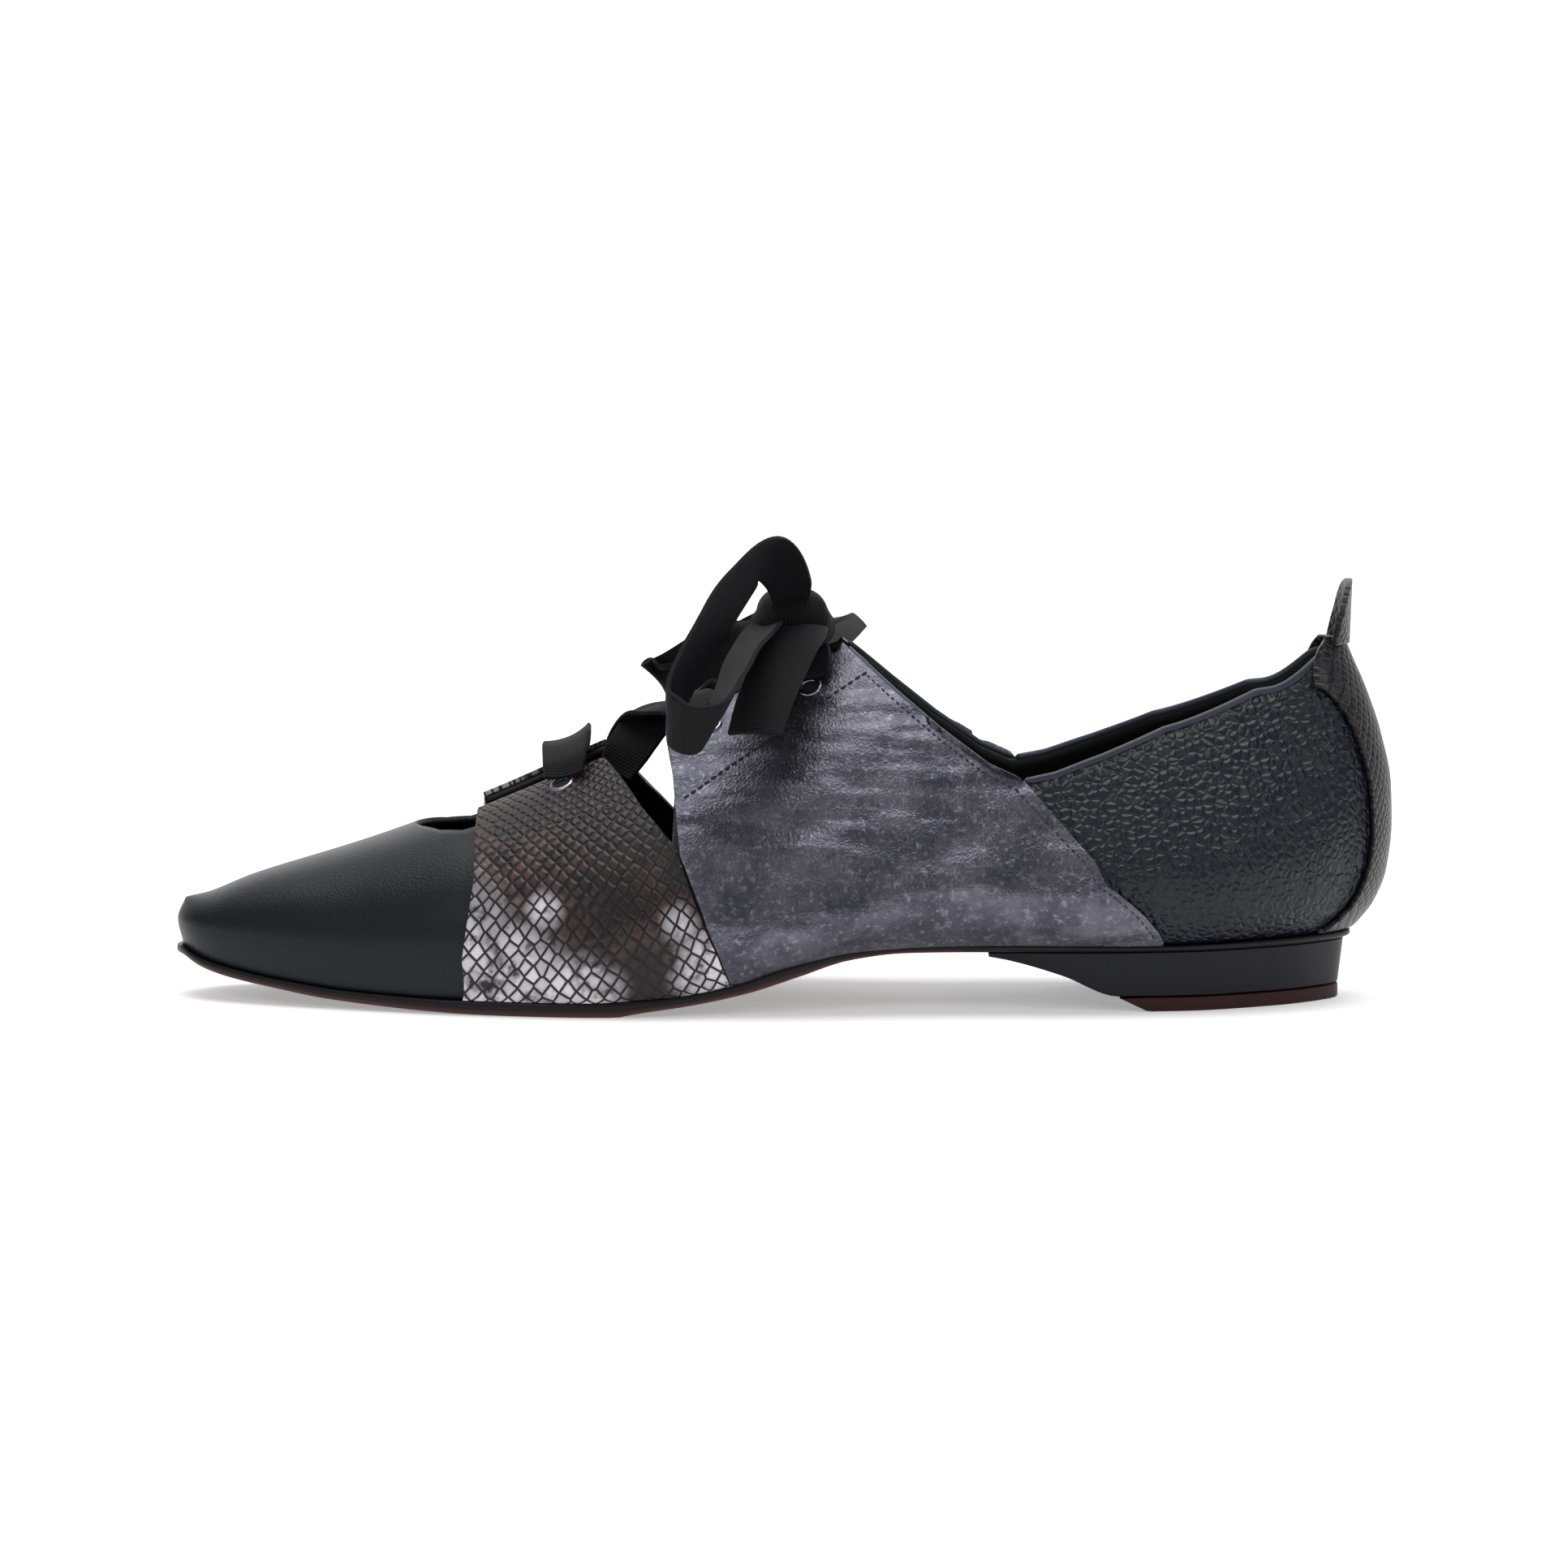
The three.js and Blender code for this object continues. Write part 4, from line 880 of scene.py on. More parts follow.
def filled_panel(side, bottom, top, front, rear, across, up):
    """Blend of four sides: bottom and top run backwards, front and rear run upwards."""
    low = spaced(side, bottom, across)[None]
    high = spaced(side, top, across)[None]
    left = spaced(side, front, up)[:, None]
    right = spaced(side, rear, up)[:, None]
    u = across[None, :, None]
    v = up[:, None, None]
    corners = (
        (1 - u) * (1 - v) * low[:, :1] + u * (1 - v) * low[:, -1:]
        + (1 - u) * v * high[:, :1] + u * v * high[:, -1:]
    )
    return (1 - v) * low + v * high + (1 - u) * left + u * right - corners


def print_uv(side, station, level):
    """UV counted in scales, which are widest at the seat and get smaller upwards."""
    uv = leather_uv(side, station, level) / MM
    size = SCALE_SIZE - SCALE_SHRINK * uv[..., 1]
    along = (uv[..., 0] + 38) / size
    return np.stack([along, -np.log(size / SCALE_SIZE) / SCALE_SHRINK], axis=-1)


def overlay(name, side, grid, material, uv_map=leather_uv):
    """A stitched-on panel from a grid of stations and levels."""
    station, level = grid[..., 0], grid[..., 1]
    bm = bmesh.new()
    points = skin_points(station, side, level, OVERLAY_TOP)
    patch_mesh(bm, points, uv_map(side, station, level), flip=side > 0)
    panel = finish_mesh(bm, name, material)
    add_solidify(panel, OVERLAY_THICKNESS)
    add_bevel(panel, 0.3 * MM)
    return panel


SEAT = -1.0


def seat_line(side, start, end):
    """The line where the upper meets the sole, from one x to another, in mm."""
    x = np.linspace(start, end, 24) * MM
    line = locate(side, x, seat_height(x), 2)
    line[:, 1] = SEAT
    return line


def with_seat(side, x, line):
    """The line with a start on the seat."""
    start = seat_line(side, x, x + 0.1)[:1]
    return np.concatenate([start, line])


# %% Outlines of the panels
# Rows of x, z seen from the side or y seen from above, and the value, in mm.
BAND_SEAT = (-68.0, -11.3)
BAND_FRONT = ((-67.6, "z", 12.0), (-65.2, "z", 28.0))
BAND_TOP = {
    -1: ((-65.2, "y", -15.8), (-65.0, "y", -10.5), (-38.3, "y", -10.5)),
    1: ((-65.2, "y", 25.4), (-65.0, "y", 16.0), (-38.3, "y", 16.0)),
}
BAND_REAR = ((-11.4, "z", 7.0), (-19.0, "z", 24.8), (-22.5, "z", 34.5), (-30.5, "z", 43.6),
             (-37.6, "z", 51.5))
QUARTER_SEAT = (-10.6, 80.2)
QUARTER_FRONT = ((-11.2, "z", 7.0), (-18.2, "z", 24.8), (-21.9, "z", 33.8), (-23.4, "z", 48.9),
                 (-24.8, "z", 55.6))
QUARTER_TOP = {
    -1: ((-25.1, "y", -4.2), (12.2, "y", -0.2), (13.1, "z", 75.6), (16.2, "z", 73.0),
         (23.6, "z", 66.6), (33.0, "z", 59.0), (43.2, "z", 51.8), (49.9, "z", 48.9)),
    1: ((-25.1, "y", 15.6), (12.2, "y", 19.8), (13.1, "z", 75.6), (16.2, "z", 73.0),
        (23.6, "z", 66.6), (33.0, "z", 59.0), (43.2, "z", 51.8), (49.9, "z", 48.9)),
}
QUARTER_REAR = ((80.2, "z", 16.4), (51.1, "z", 48.6))
FACING_CORNER = np.array([12.6, 75.6]) * MM

# %% Bands and quarters
panels = {}
edges = {}
facing_lines = {}
for side, hand in ((-1, "outer"), (1, "inner")):
    front = with_seat(side, BAND_SEAT[0], line_on_last(side, BAND_FRONT))
    top = line_on_last(side, BAND_TOP[side])
    front = np.concatenate([front, top[:1]])
    rear = with_seat(side, BAND_SEAT[1], line_on_last(side, BAND_REAR))
    rear = np.concatenate([rear, top[-1:]])
    grid = filled_panel(side, seat_line(side, *BAND_SEAT), top, front, rear,
                        np.linspace(0, 1, 70), np.linspace(0, 1, 70))
    panels["band_" + hand] = overlay(
        "print_band_" + hand, side, grid, snake_leather, print_uv)
    edges["band_" + hand] = (front, top, rear)

    front = with_seat(side, QUARTER_SEAT[0], line_on_last(side, QUARTER_FRONT))
    top = line_on_last(side, QUARTER_TOP[side])
    front = np.concatenate([front, top[:1]])
    rear = with_seat(side, QUARTER_SEAT[1], line_on_last(side, QUARTER_REAR))
    rear = np.concatenate([rear, top[-1:]])
    across = np.linspace(0, 1, 110)
    corner = corner_share(side, top, FACING_CORNER)
    across[np.argmin(np.abs(across - corner))] = corner
    grid = filled_panel(side, seat_line(side, *QUARTER_SEAT), top, front, rear,
                        across, np.linspace(0, 1, 90))
    panels["quarter_" + hand] = overlay("metal_quarter_" + hand, side, grid, metallic_leather)
    edges["quarter_" + hand] = (front, top, rear)
    past_corner = across >= corner + 0.01
    facing_lines[side] = grid[-1][past_corner]

for name, panel in panels.items():
    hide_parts(name)
print("panels:", sorted(panels))

# %% [markdown]
# ## Seams
# Stitches are small dashes of thread pressed into the leather, and a thin rolled edge runs
# along the collar, its lighter colour a painted highlight. Both follow lines on the last.


# %% Stitches and rolled edges
def line_points(side, rows, gap, lift):
    """Evenly spaced points on a panel along rows of x and height, in mm."""
    line = line_on_last(side, rows)
    places = last_points(line[:, 0], side, line[:, 1])
    reach = float(np.linalg.norm(np.diff(places, axis=0), axis=1).sum())
    even = spaced(side, line, np.linspace(0, 1, max(int(reach / gap), 2)))
    return skin_points(even[:, 0], side, even[:, 1], lift)


def stitches(name, material, size, *lines):
    """Dashes of thread along each line of points; size is length, width and height."""
    bm = bmesh.new()
    for points in lines:
        ahead = np.gradient(points, axis=0)
        for spot, direction in zip(points, ahead):
            turn = Vector(direction).to_track_quat("X", "Z").to_matrix().to_4x4()
            stretch = Matrix.Diagonal((*[v * MM / 2 for v in size], 1))
            bmesh.ops.create_icosphere(
                bm, subdivisions=2, radius=1,
                matrix=Matrix.Translation(Vector(spot)) @ turn @ stretch)
    return finish_mesh(bm, name, material)


def rolled_edge(name, points, radius, material):
    """A thin closed tube along a line of points."""
    ahead = np.gradient(points, axis=0)
    ahead /= np.linalg.norm(ahead, axis=1, keepdims=True)
    across = np.cross(ahead, (0, 1, 0))
    across /= np.linalg.norm(across, axis=1, keepdims=True)
    flat = np.cross(ahead, across)
    turn = np.linspace(0, 2 * math.pi, 13)[None, :, None]
    size = np.full((len(points), 1, 1), radius)
    size[[0, -1]] = 0.02 * MM
    ring = points[:, None] + size * (
        across[:, None] * np.cos(turn) + flat[:, None] * np.sin(turn))
    bm = bmesh.new()
    patch_mesh(bm, ring, ring[..., :2])
    bmesh.ops.remove_doubles(bm, verts=bm.verts, dist=0.01 * MM)
    bmesh.ops.holes_fill(bm, edges=[edge for edge in bm.edges if edge.is_boundary])
    bmesh.ops.recalc_face_normals(bm, faces=bm.faces)
    return finish_mesh(bm, name, material)


PITCH = 1.8 * MM
ON_PANEL = OVERLAY_TOP + 0.05 * MM
EYESTAY = ((-20.5, "z", 45.0), (17.5, "z", 69.6))
BAND_SEAM = ((-53.3, "z", 38.0), (-36.7, "z", 42.5))
TOPLINE_SEAM = ((18.4, "z", 69.0), (24.0, "z", 64.2), (33.0, "z", 56.9), (43.0, "z", 49.8),
                (49.4, "z", 46.9))
REAR_SEAM = ((49.6, "z", 46.6), (78.0, "z", 17.4))
stay_lines = [line_points(side, EYESTAY, PITCH, ON_PANEL) for side in (-1, 1)]
band_lines = [line_points(side, BAND_SEAM, PITCH, ON_PANEL) for side in (-1, 1)]
plain_lines = []
for side in (-1, 1):
    for rows in (TOPLINE_SEAM, REAR_SEAM):
        plain_lines.append(line_points(side, rows, 1.5 * MM, ON_PANEL))
eyestay_thread = stitches("thread_eyestay", dark_thread, (1.5, 0.7, 0.5), *stay_lines)
band_thread = stitches("thread_band", pale_thread, (1.3, 0.4, 0.35), *band_lines)
edge_thread = stitches("thread_edges", dark_thread, (1.1, 0.4, 0.3), *plain_lines)
for side, hand in ((-1, "outer"), (1, "inner")):
    station = np.linspace(locate(side, 50.4 * MM, 48.9 * MM, 2)[0, 0], 0.955, 90)
    points = skin_points(station, side, opening_level(side, station), -0.6 * MM)
    collar_edge = rolled_edge("collar_edge_" + hand, points, 0.95 * MM, piping_leather)
    line = facing_lines[side]
    points = skin_points(line[:, 0], side, line[:, 1], 0.6 * MM)
    facing_edge = rolled_edge("facing_edge_" + hand, points, 0.75 * MM, piping_leather)
print("stitches:", sum(len(line) for line in stay_lines + band_lines + plain_lines))

# %% [markdown]
# ## Heel strip and pull tab
# A strip of the same print runs up the back seam. Above the collar it goes on as a small
# curved tab that helps to pull the shoe on.

# %% Heel strip
STRIP_HALF = 12 * MM
STRIP_MIDDLE = 0.6 * MM
STRIP_TOP = 77.4 * MM
STRIP_FRONT = 113 * MM
strip_levels = np.linspace(0, 1, 60)
strip_columns = np.linspace(0, 1, 16)


def strip_grid(side):
    """Stations from the strip's edge to the seam and levels up to one height."""
    search = np.linspace(0.8, 1, 300)
    heights = last_points(0.9995, side, np.linspace(0, 1, 300))[:, 2]
    top = float(np.interp(STRIP_TOP, heights, np.linspace(0, 1, 300)))
    levels = -0.97 + (top + 0.97) * strip_levels
    rows = []
    for level in levels:
        places = last_points(search, side, level)
        far = np.abs(places[:, 1] - STRIP_MIDDLE) > STRIP_HALF
        edge = search[far][-1] if far.any() else 0.9
        rise = np.clip((places[0, 2] - 66 * MM) / (10 * MM), 0, 1)
        limit = STRIP_FRONT + 5 * MM * rise
        edge = max(edge, search[np.argmax(places[:, 0] > limit)])
        rows.append(edge + (1 - edge) * strip_columns)
    station = np.array(rows)
    return station, np.broadcast_to(levels[:, None], station.shape)


bm = bmesh.new()
for side in (-1, 1):
    station, level = strip_grid(side)
    points = skin_points(station, side, level, OVERLAY_TOP)
    uv = np.stack([points[..., 1], points[..., 2]], axis=-1)
    patch_mesh(bm, points, uv, flip=side > 0)
bmesh.ops.remove_doubles(bm, verts=bm.verts, dist=0.05 * MM)
bmesh.ops.dissolve_degenerate(bm, edges=bm.edges, dist=0.01 * MM)
heel_strip = finish_mesh(bm, "heel_strip_skin", strip_leather)
add_solidify(heel_strip, OVERLAY_THICKNESS)
add_bevel(heel_strip, 0.3 * MM)
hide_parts("heel_strip")

# %% Pull tab
TAB_FOOT = 76.8 * MM
TAB_TOP = 90.3 * MM
TAB_RADIUS = 12.5 * MM
TAB_BACK = 120.66 * MM
TAB_WIDTH = 19 * MM
TAB_THICKNESS = 1.2 * MM
# Height share, half width share and radius share.
TAB_ROWS = ((0, 0.5, 1), (0.3, 0.49, 1.3), (0.6, 0.46, 1.8), (0.82, 0.4, 2.2), (0.95, 0.28, 2.5),
            (1, 0.12, 2.6))
tab_half = smooth_curve([row[0] for row in TAB_ROWS], [row[1] for row in TAB_ROWS])
tab_radius = smooth_curve([row[0] for row in TAB_ROWS], [row[2] for row in TAB_ROWS])
height = np.linspace(0, 1, 28)[:, None] ** 0.8
turn = np.linspace(-1, 1, 25)[None, :]
radius = TAB_RADIUS * tab_radius(height)
angle = TAB_WIDTH * tab_half(height) / radius * turn
points = np.stack([
    TAB_BACK + 0.4 * MM * height - radius + radius * np.cos(angle),
    STRIP_MIDDLE + radius * np.sin(angle),
    TAB_FOOT + (TAB_TOP - TAB_FOOT) * height + 0 * angle,
], axis=-1)
bm = bmesh.new()
patch_mesh(bm, points, np.stack([points[..., 1], points[..., 2]], axis=-1), flip=True)
pull_tab = finish_mesh(bm, "pull_tab_skin", strip_leather)
add_solidify(pull_tab, TAB_THICKNESS)
add_bevel(pull_tab, 0.4 * MM, 3)
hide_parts("pull_tab")
print("tab top:", round(TAB_TOP / MM, 1))

# %% [markdown]
# ## Ribbon lace
# The ribbon is a soft woven tape. Each run of it follows a list of points: along, side and up
# in mm, a tilt in degrees and a share of the full width. The runs between the eyelets are
# pinched by them, and the bow's loops are open.

# %% Ribbon helper
RIBBON_WIDTH = 12.5
RIBBON_THICKNESS = 0.9
RIBBON_EDGE = 0.2


def through(rows, steps):
    """A smooth course through the rows, evenly stepped between them."""
    rows = np.asarray(rows, float)
    padded = np.concatenate([2 * rows[:1] - rows[1:2], rows, 2 * rows[-1:] - rows[-2:-1]])
    out = []
    for i in range(1, len(padded) - 2):
        a, b, c, d = padded[i - 1:i + 3]
        for t in np.arange(steps) / steps:
            out.append(0.5 * (
                2 * b + (c - a) * t + (2 * a - 5 * b + 4 * c - d) * t * t
                + (3 * b - a - 3 * c + d) * t**3))
    out.append(rows[-1])
    return np.array(out)


def lay_tape(bm, rows, level, arch, steps, ripple):
    """Adds one run of tape to the bmesh and gives back its centreline."""
    course = through(rows, steps)
    centre = course[:, :3] * MM
    ahead = np.gradient(centre, axis=0)
    ahead /= np.linalg.norm(ahead, axis=1, keepdims=True)
    level = np.array(level, float)
    across = level - ahead * (ahead @ level)[:, None]
    across /= np.linalg.norm(across, axis=1, keepdims=True)
    flat = np.cross(ahead, across)
    tilt = np.radians(course[:, 3])[:, None]
    across = across * np.cos(tilt) + flat * np.sin(tilt)
    flat = np.cross(ahead, across)
    half = RIBBON_WIDTH * MM * course[:, 4] / 2
    columns = np.linspace(-1, 1, 13)
    bend = (1 - columns**2) * arch * MM
    length = np.concatenate([[0], np.cumsum(np.linalg.norm(np.diff(centre, axis=0), axis=1))])
    wave = ripple * MM * np.sin(length[:, None] / (3.1 * MM) + columns * 1.3) * columns**2
    lift = bend[None] + wave
    points = centre[:, None] + across[:, None] * (half[:, None] * columns)[..., None]
    points = points + flat[:, None] * lift[..., None]
    uv = np.stack(np.broadcast_arrays(
        columns[None] * RIBBON_WIDTH * MM / 2, length[:, None]), axis=-1)
    patch_mesh(bm, points, uv)
    return centre


def ribbon(name, *runs, arch=0.6, steps=12, ripple=0.0):
    """A woven tape of one or more runs; each run is its rows and its level direction."""
    bm = bmesh.new()
    path = [lay_tape(bm, rows, level, arch, steps, ripple) for rows, level in runs]
    piece = finish_mesh(bm, name, ribbon_weave)
    add_solidify(piece, RIBBON_THICKNESS * MM, 0.0)
    add_bevel(piece, RIBBON_EDGE * MM)
    path = np.concatenate(path)
    return piece, path, float(np.linalg.norm(np.diff(path, axis=0), axis=1).sum())


# %% Runs between the eyelets
BAR_FRONT = (
    (-46.9, -15.7, 49.6, -20, 0.7), (-46.9, -12.4, 53.1, -22, 0.8), (-46.9, -4.8, 55.9, -22, 0.86),
    (-46.9, 3.2, 56.4, -22, 0.86), (-46.9, 11.2, 55.9, -22, 0.86), (-46.9, 18.8, 53.2, -22, 0.8),
    (-46.9, 22.1, 50.7, -20, 0.7),
)
CROSSING_OUTWARD = (
    (-36.2, 8.0, 49.1, 10, 0.6), (-32.5, 6.8, 55.5, 12, 0.85), (-27.5, 3.2, 60.9, 18, 1),
    (-21.5, -4.0, 63.8, 25, 1), (-16.2, -10.2, 63.0, 25, 0.7),
)
CROSSING_INWARD = (
    (-36.2, -2.4, 48.8, -10, 0.6), (-32.5, -0.8, 55.1, -12, 0.85), (-27.5, 4.8, 60.9, -18, 1),
    (-21.0, 15.2, 64.4, -25, 1), (-16.0, 23.2, 62.4, -25, 0.7),
)
BAR_BACK = (
    (-4.5, -10.2, 66.2, -26, 0.75), (-4.5, -4.8, 69.9, -28, 1), (-4.5, 7.2, 72.0, -28, 1.05),
    (-4.5, 20.0, 70.5, -28, 1), (-4.5, 26.4, 66.4, -26, 0.75),
)
BAR_TOP = (
    (6.8, -8.0, 70.5, -15, 0.5), (6.6, -2.4, 74.3, -15, 0.55), (5.8, 6.4, 76.4, -15, 0.45),
    (6.3, 17.6, 75.6, -15, 0.55), (6.8, 28.0, 70.1, -15, 0.5),
)
ALONG, ASIDE, UPWARD = (1, 0, 0), (0, 1, 0), (0, 0, 1)
bar_front, _, _ = ribbon("ribbon_bar_front", (BAR_FRONT, ALONG), arch=1.2, ripple=0.15)
crossing_out, _, _ = ribbon(
    "ribbon_crossing_outward", (CROSSING_OUTWARD, ALONG), arch=0.8, ripple=0.2)
ribbon(
    "ribbon_crossing_inward", (CROSSING_INWARD, ALONG), arch=0.8, ripple=0.2)
bar_back, _, _ = ribbon("ribbon_bar_back", (BAR_BACK, ALONG), arch=1.0, ripple=0.2)
bar_top, _, _ = ribbon("ribbon_bar_top", (BAR_TOP, ALONG), arch=1.0, ripple=0.2)
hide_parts("lace_bar_front")
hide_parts("lace_crossing")
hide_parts("lace_bar_back")
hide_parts("lace_bar_top")

# %% Bow
BOW_KNOT = (
    (-4.2, 5.0, 77.4, 0, 0.72), (-3.4, 5.0, 84.4, 0, 0.8), (1.0, 5.0, 86.4, 0, 0.82),
    (6.6, 5.0, 84.8, 0, 0.8), (8.8, 5.0, 78.1, 0, 0.72),
)
# Out along the upper layer of the outer loop, back below it, through the knot to the end.
BOW_OUTER = (
    (1.2, -0.4, 83.0, -85, 0.55), (1.0, -5.2, 89.6, -75, 0.8), (-3.4, -12.6, 95.2, -35, 0.95),
    (-10.2, -22.0, 89.0, -14, 1), (-16.4, -32.0, 80.4, -10, 1), (-21.4, -42.0, 71.2, -6, 1),
    (-23.4, -49.2, 65.0, 5, 1), (-19.4, -52.6, 62.4, 30, 1), (-14.8, -49.6, 63.6, 35, 1),
    (-12.2, -40.0, 68.6, 42, 1), (-8.8, -25.0, 75.0, 52, 1), (-5.4, -10.0, 79.4, 68, 0.85),
    (-3.4, -1.6, 80.8, 82, 0.6),
)
BOW_OUTER_END = (
    (0.6, 2.4, 80.2, 0, 0.55), (5.0, -0.2, 79.8, 0, 0.6), (4.4, -8.0, 79.4, 0, 0.8),
    (0.8, -17.6, 75.4, 5, 0.95),
    (-3.2, -28.4, 68.0, 10, 1), (-6.0, -37.0, 60.0, 15, 0.95),
)
BOW_INNER = (
    (3.4, 10.4, 84.0, 12, 0.6), (1.4, 17.6, 83.6, -10, 0.85), (-5.6, 28.0, 80.0, -30, 1),
    (-16.0, 37.4, 72.6, -45, 1), (-26.0, 41.4, 66.8, -50, 0.9), (-27.2, 38.6, 65.0, -50, 0.85),
    (-17.6, 33.8, 70.2, -45, 0.95), (-8.2, 24.6, 76.2, -25, 0.9), (-3.6, 13.0, 79.6, 0, 0.6),
)
BOW_INNER_END = (
    (-1.6, 9.6, 80.0, 0, 0.5), (3.0, 8.4, 80.4, 0, 0.5), (7.0, 10.6, 80.0, 0, 0.55),
    (8.4, 18.4, 80.6, 0, 0.8), (10.0, 29.6, 79.4, -10, 0.85),
    (11.6, 41.6, 76.6, -25, 0.9), (13.6, 53.2, 72.4, -40, 1),
)
KNOT_FOLD = (
    (-5.4, 1.6, 79.0, 0, 0.5), (-2.2, -1.4, 81.2, -8, 0.8), (2.6, -2.2, 81.8, -8, 0.88),
    (7.2, -1.2, 80.6, -5, 0.8), (9.4, 2.2, 78.8, 0, 0.5),
)
knot, _, _ = ribbon("ribbon_knot", (BOW_KNOT, ASIDE), (KNOT_FOLD, UPWARD), arch=1.6, ripple=0.3)
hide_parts("bow_knot")
outer, outer_path, outer_length = ribbon(
    "ribbon_bow_outer", (BOW_OUTER, UPWARD), (BOW_OUTER_END, ALONG), ripple=0.15)
inner, inner_path, inner_length = ribbon(
    "ribbon_bow_inner", (BOW_INNER, ALONG), (BOW_INNER_END, ALONG), ripple=0.15)
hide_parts("bow_loop_outer", "lace_end_outer")
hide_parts("bow_loop_inner", "lace_end_inner")
print("bow lengths in mm:", round(outer_length / MM), round(inner_length / MM))

# %% [markdown]
# ## Sole, heel and top lift
# These are cut leather and rubber with crisp edges. Each is one closed loop of points for
# every section, drawn round the outline of the last's seat.


# %% Sole helper
def edge_points(station, side, out):
    """The seat's outline, moved out sideways."""
    level = np.full(np.shape(station), -1.0)
    points = last_points(station, side, level)
    return points + last_normals(station, side, level) * out


def closed_loft(name, stations, rings, materials, indices):
    """A closed piece from rings of points, one ring per station."""
    points = np.array(rings)
    points = np.concatenate([points, points[:, :1]], axis=1)
    uv = points[..., :2]
    bm = bmesh.new()
    patch_mesh(bm, points, uv)
    bmesh.ops.remove_doubles(bm, verts=bm.verts, dist=0.02 * MM)
    bmesh.ops.dissolve_degenerate(bm, edges=bm.edges, dist=0.01 * MM)
    open_edges = [edge for edge in bm.edges if edge.is_boundary]
    if open_edges:
        bmesh.ops.holes_fill(bm, edges=open_edges)
    bmesh.ops.recalc_face_normals(bm, faces=bm.faces)
    piece = finish_mesh(bm, name, *materials)
    for face in piece.data.polygons:
        face.material_index = indices(face)
    piece.modifiers.new("smooth", "WEIGHTED_NORMAL")
    return piece


def section_ring(station, layers, bulge=6):
    """A section's loop: up the outer edge, across the top, down the inner edge and back."""
    outer = [edge_points(station, -1, out) for out, _ in layers]
    inner = [edge_points(station, 1, out) for out, _ in layers]
    for points, (_, height) in zip(outer, layers):
        points[2] = height(points[0])
    for points, (_, height) in zip(inner, layers):
        points[2] = height(points[0])
    shares = np.linspace(0, 1, bulge + 2)[1:-1, None]
    top = outer[-1] + (inner[-1] - outer[-1]) * shares
    top[:, 2] = layers[-1][1](top[:, 0])
    base = inner[0] + (outer[0] - inner[0]) * shares
    base[:, 2] = layers[0][1](base[:, 0])
    return np.array([*outer, *top, *inner[::-1], *base])


# %% Outsole
SOLE_EDGE = 1.4 * MM
SOLE_BEVEL = 1.6 * MM


def sole_layer(share):
    return lambda x: tread_height(x) + (seat_height(x) - tread_height(x)) * share


sole_layers = (
    (SOLE_EDGE - SOLE_BEVEL, sole_layer(0.0)), (SOLE_EDGE - 0.5 * MM, sole_layer(0.22)),
    (SOLE_EDGE, sole_layer(0.42)), (SOLE_EDGE, sole_layer(0.7)),
    (SOLE_EDGE - 0.1 * MM, sole_layer(0.92)), (SOLE_EDGE - 0.4 * MM, sole_layer(1.0)),
)
sole_stations = np.linspace(0.0, 1.0, 150)
rings = [section_ring(station, sole_layers) for station in sole_stations]
outsole = closed_loft("outsole_skin", sole_stations, rings, (sole_leather, sole_underside),
                      lambda face: 1 if face.normal.z < -0.35 and face.center.x < 38 * MM else 0)
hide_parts("outsole")

# %% Heel and top lift
HEEL_TAPER = 1.2 * MM
LIFT_THICKNESS = 3 * MM
LIFT_START = 71.2 * MM
LIFT_SLANT = 6.2 * MM
HEEL_START = 43 * MM
BREAST_ROWS = ((0.1641, 0.81), (0.1832, 0.747), (0.2252, 0.534), (0.2718, 0.226), (0.3, 0.226),
               (0.47, 0.226))
breast_curve = smooth_curve(*zip(*BREAST_ROWS))


def station_of(x):
    return float(locate(-1, x, seat_height(x), 2)[0, 0])


def heel_top(x):
    return tread_height(x) - 0.05 * MM


def heel_foot(x):
    low = HEEL_HEIGHT * breast_curve(x / SHOE_LENGTH)
    return np.minimum(low, heel_top(x) - 0.2 * MM)


def lift_foot(x):
    slope = LIFT_THICKNESS * (1 - (x - LIFT_START) / LIFT_SLANT)
    return np.clip(slope, 0, LIFT_THICKNESS - 0.1 * MM)


heel_layers = (
    (-HEEL_TAPER - 0.2 * MM, heel_foot), (-HEEL_TAPER, lambda x: heel_foot(x) + 0.25 * MM),
    (-0.1 * MM, lambda x: heel_top(x) - 0.25 * MM), (-0.3 * MM, heel_top),
)
heel_stations = np.linspace(station_of(HEEL_START), 1.0, 90)
rings = [section_ring(station, heel_layers) for station in heel_stations]
heel = closed_loft("heel_block_skin", heel_stations, rings, (heel_leather,), lambda face: 0)
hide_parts("heel_block")

lift_layers = (
    (-HEEL_TAPER - 0.3 * MM, lift_foot), (-HEEL_TAPER, lambda x: lift_foot(x) + 0.3 * MM),
    (-HEEL_TAPER, lambda x: LIFT_THICKNESS - 0.2 * MM + 0 * x),
    (-HEEL_TAPER - 0.15 * MM, lambda x: LIFT_THICKNESS + 0 * x),
)
lift_stations = np.linspace(station_of(LIFT_START + 0.3 * MM), 1.0, 80)
rings = [section_ring(station, lift_layers) for station in lift_stations]
top_lift = closed_loft("top_lift_skin", lift_stations, rings, (lift_rubber,), lambda face: 0)
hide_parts("heel_top_lift")
print("sole pieces made")

# %% [markdown]
# ## Eyelets
# Four small rings on each side hold the ribbon. Each is a torus set flat on the leather, with a
# dark disc in its opening as painted shade in the hole.

# %% Eyelet rings
EYELET_ROWS = (
    ("1", -46.9, -14.8, 21.0), ("2", -15.5, -10.0, 22.8), ("3", -4.5, -8.6, 24.0),
    ("4", 5.9, -6.7, 26.8),
)
EYELET_RING = 2.15
EYELET_WIRE = 0.55


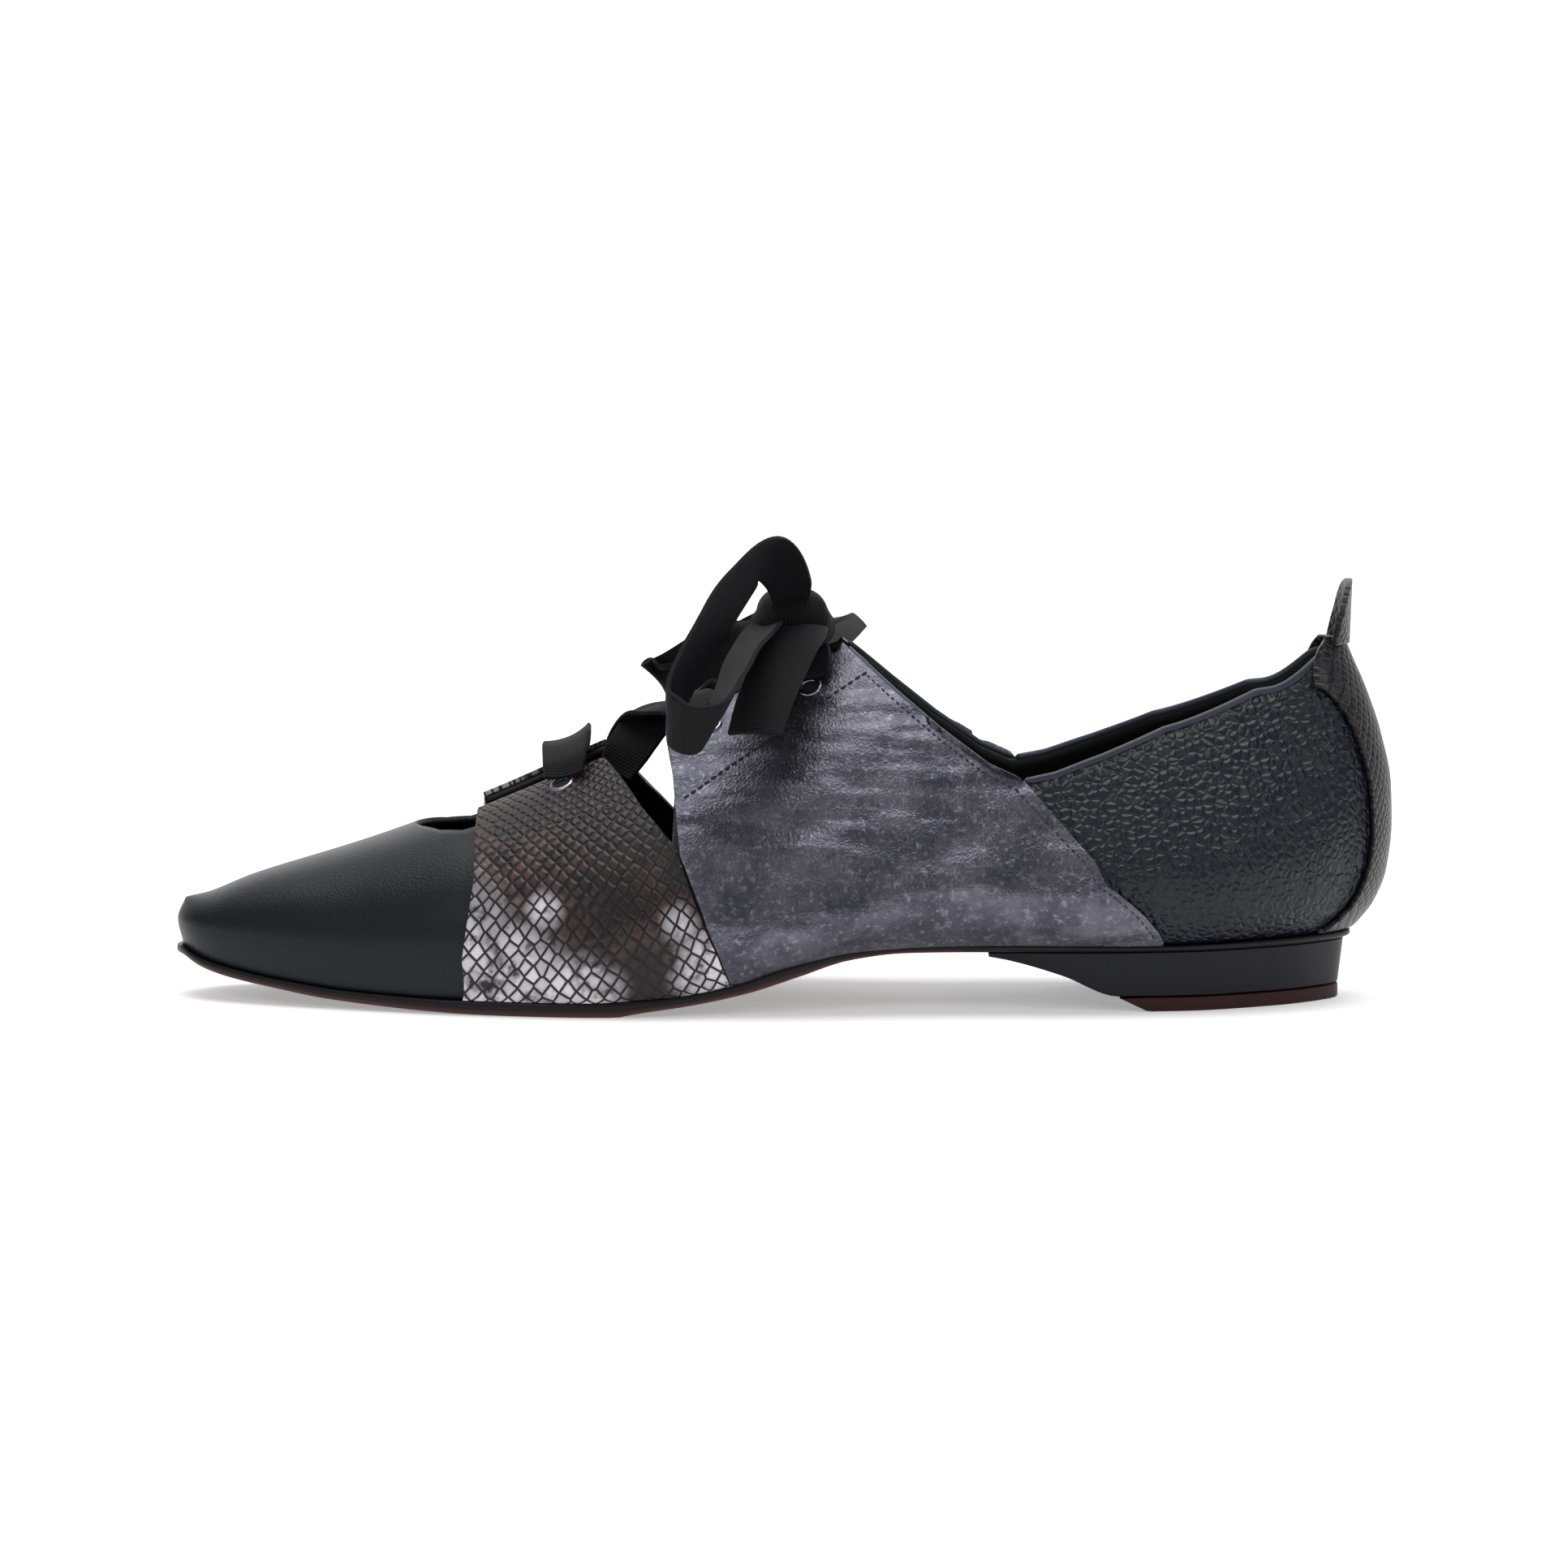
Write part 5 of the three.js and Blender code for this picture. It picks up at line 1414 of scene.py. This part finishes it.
def eyelet_ring(name, side, x, y):
    station, level = locate(side, x * MM, y * MM, 1)[0]
    out = last_normals(np.array(station), side, np.array(level))
    spot = skin_points(np.array(station), side, np.array(level), OVERLAY_TOP)
    bpy.ops.mesh.primitive_torus_add(
        major_radius=EYELET_RING * MM, minor_radius=EYELET_WIRE * MM,
        major_segments=36, minor_segments=12)
    ring = bpy.context.object
    ring.name = name
    turn = Vector(out).to_track_quat("Z", "Y").to_matrix().to_4x4()
    flatten = Matrix.Diagonal((1, 1, 0.7, 1))
    ring.data.transform(Matrix.Translation(Vector(spot)) @ turn @ flatten)
    ring.data.shade_smooth()
    ring.data.materials.append(eyelet_metal)
    # Painted shade: a dark disc fills the ring's opening.
    dark = bpy.data.meshes.new(name + "_hole")
    dots = bmesh.new()
    bmesh.ops.create_circle(dots, cap_ends=True, segments=24, radius=EYELET_RING * MM)
    lower = Matrix.Translation((0, 0, 0.12 * MM))
    bmesh.ops.transform(dots, matrix=Matrix.Translation(Vector(spot)) @ turn @ lower, verts=dots.verts)
    dots.to_mesh(dark)
    dots.free()
    hole = bpy.data.objects.new(name + "_hole", dark)
    bpy.context.scene.collection.objects.link(hole)
    dark.materials.append(hole_dark)
    return ring


for pair, x, outer_y, inner_y in EYELET_ROWS:
    ring = eyelet_ring("ring_outer_" + pair, -1, x, outer_y)
    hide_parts("eyelet_outer_" + pair)
    ring = eyelet_ring("ring_inner_" + pair, 1, x, inner_y)
    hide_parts("eyelet_inner_" + pair)
print("eyelets:", 2 * len(EYELET_ROWS))

# %% Insole
insole_node = frame["nodes"]["insole"]
insole_node.data.materials.clear()
insole_node.data.materials.append(insole_leather)

# %% [markdown]
# ## Studio
# The floor is a roll of white paper that sweeps up behind the shoe. A large soft panel lights
# the shoe from above and two small ones from the front, and one more whitens the backdrop.

# %% Floor and light
paper, _, paper_shader = new_material("paper", (0.93, 0.93, 0.93), 0.9)
paper_shader.inputs["Emission Color"].default_value = (1, 1, 1, 1)
paper_shader.inputs["Emission Strength"].default_value = 0.34
SWEEP = ((-4.0, 0.0), (1.0, 0.0), (2.0, 0.05), (2.6, 0.3), (3.0, 0.8), (3.2, 1.6), (3.3, 3.5))
sweep_rows = through([(0.0, y, z) for y, z in SWEEP], 6)
points = np.stack([
    np.stack([sweep_rows[:, 0] + x, sweep_rows[:, 1], np.maximum(sweep_rows[:, 2], 0)], axis=-1)
    for x in (-4.0, 4.0)
], axis=1)
bm = bmesh.new()
patch_mesh(bm, points, points[..., :2])
floor = finish_mesh(bm, "paper_roll", paper)
floor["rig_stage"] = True


def soft_panel(name, location, target, size, power):
    light = bpy.data.lights.new(name, "AREA")
    light.shape = "RECTANGLE"
    light.size, light.size_y = size
    light.energy = power
    lamp = bpy.data.objects.new(name, light)
    lamp.location = location
    aim = Vector(target) - Vector(location)
    lamp.rotation_euler = aim.to_track_quat("-Z", "Y").to_euler()
    bpy.context.scene.collection.objects.link(lamp)
    lamp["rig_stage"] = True
    return lamp


soft_panel("top_panel", (0.0, 0.15, 1.3), (0, 0.02, 0), (1.5, 1.1), 17)
soft_panel("front_panel", (-0.7, -1.2, 0.9), (0, 0, 0.03), (0.5, 0.4), 3.2)
soft_panel("side_panel", (0.9, -0.9, 0.7), (0.05, 0, 0.04), (0.35, 0.35), 2.2)
soft_panel("back_panel", (0.0, 1.9, 1.6), (0, 3.2, 0.7), (2.5, 0.6), 26)
world = bpy.data.worlds.new("studio")
world.use_nodes = True
world.node_tree.nodes["Background"].inputs["Color"].default_value = (1, 1, 1, 1)
world.node_tree.nodes["Background"].inputs["Strength"].default_value = 0.3
bpy.context.scene.world = world
bpy.context.scene.view_settings.view_transform = "Standard"

# %% Everything rides on the shoe
for piece in bpy.context.scene.objects:
    if piece.type == "MESH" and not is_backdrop(piece) and "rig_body" not in piece:
        if piece.name not in frame["nodes"]:
            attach(piece, "root")
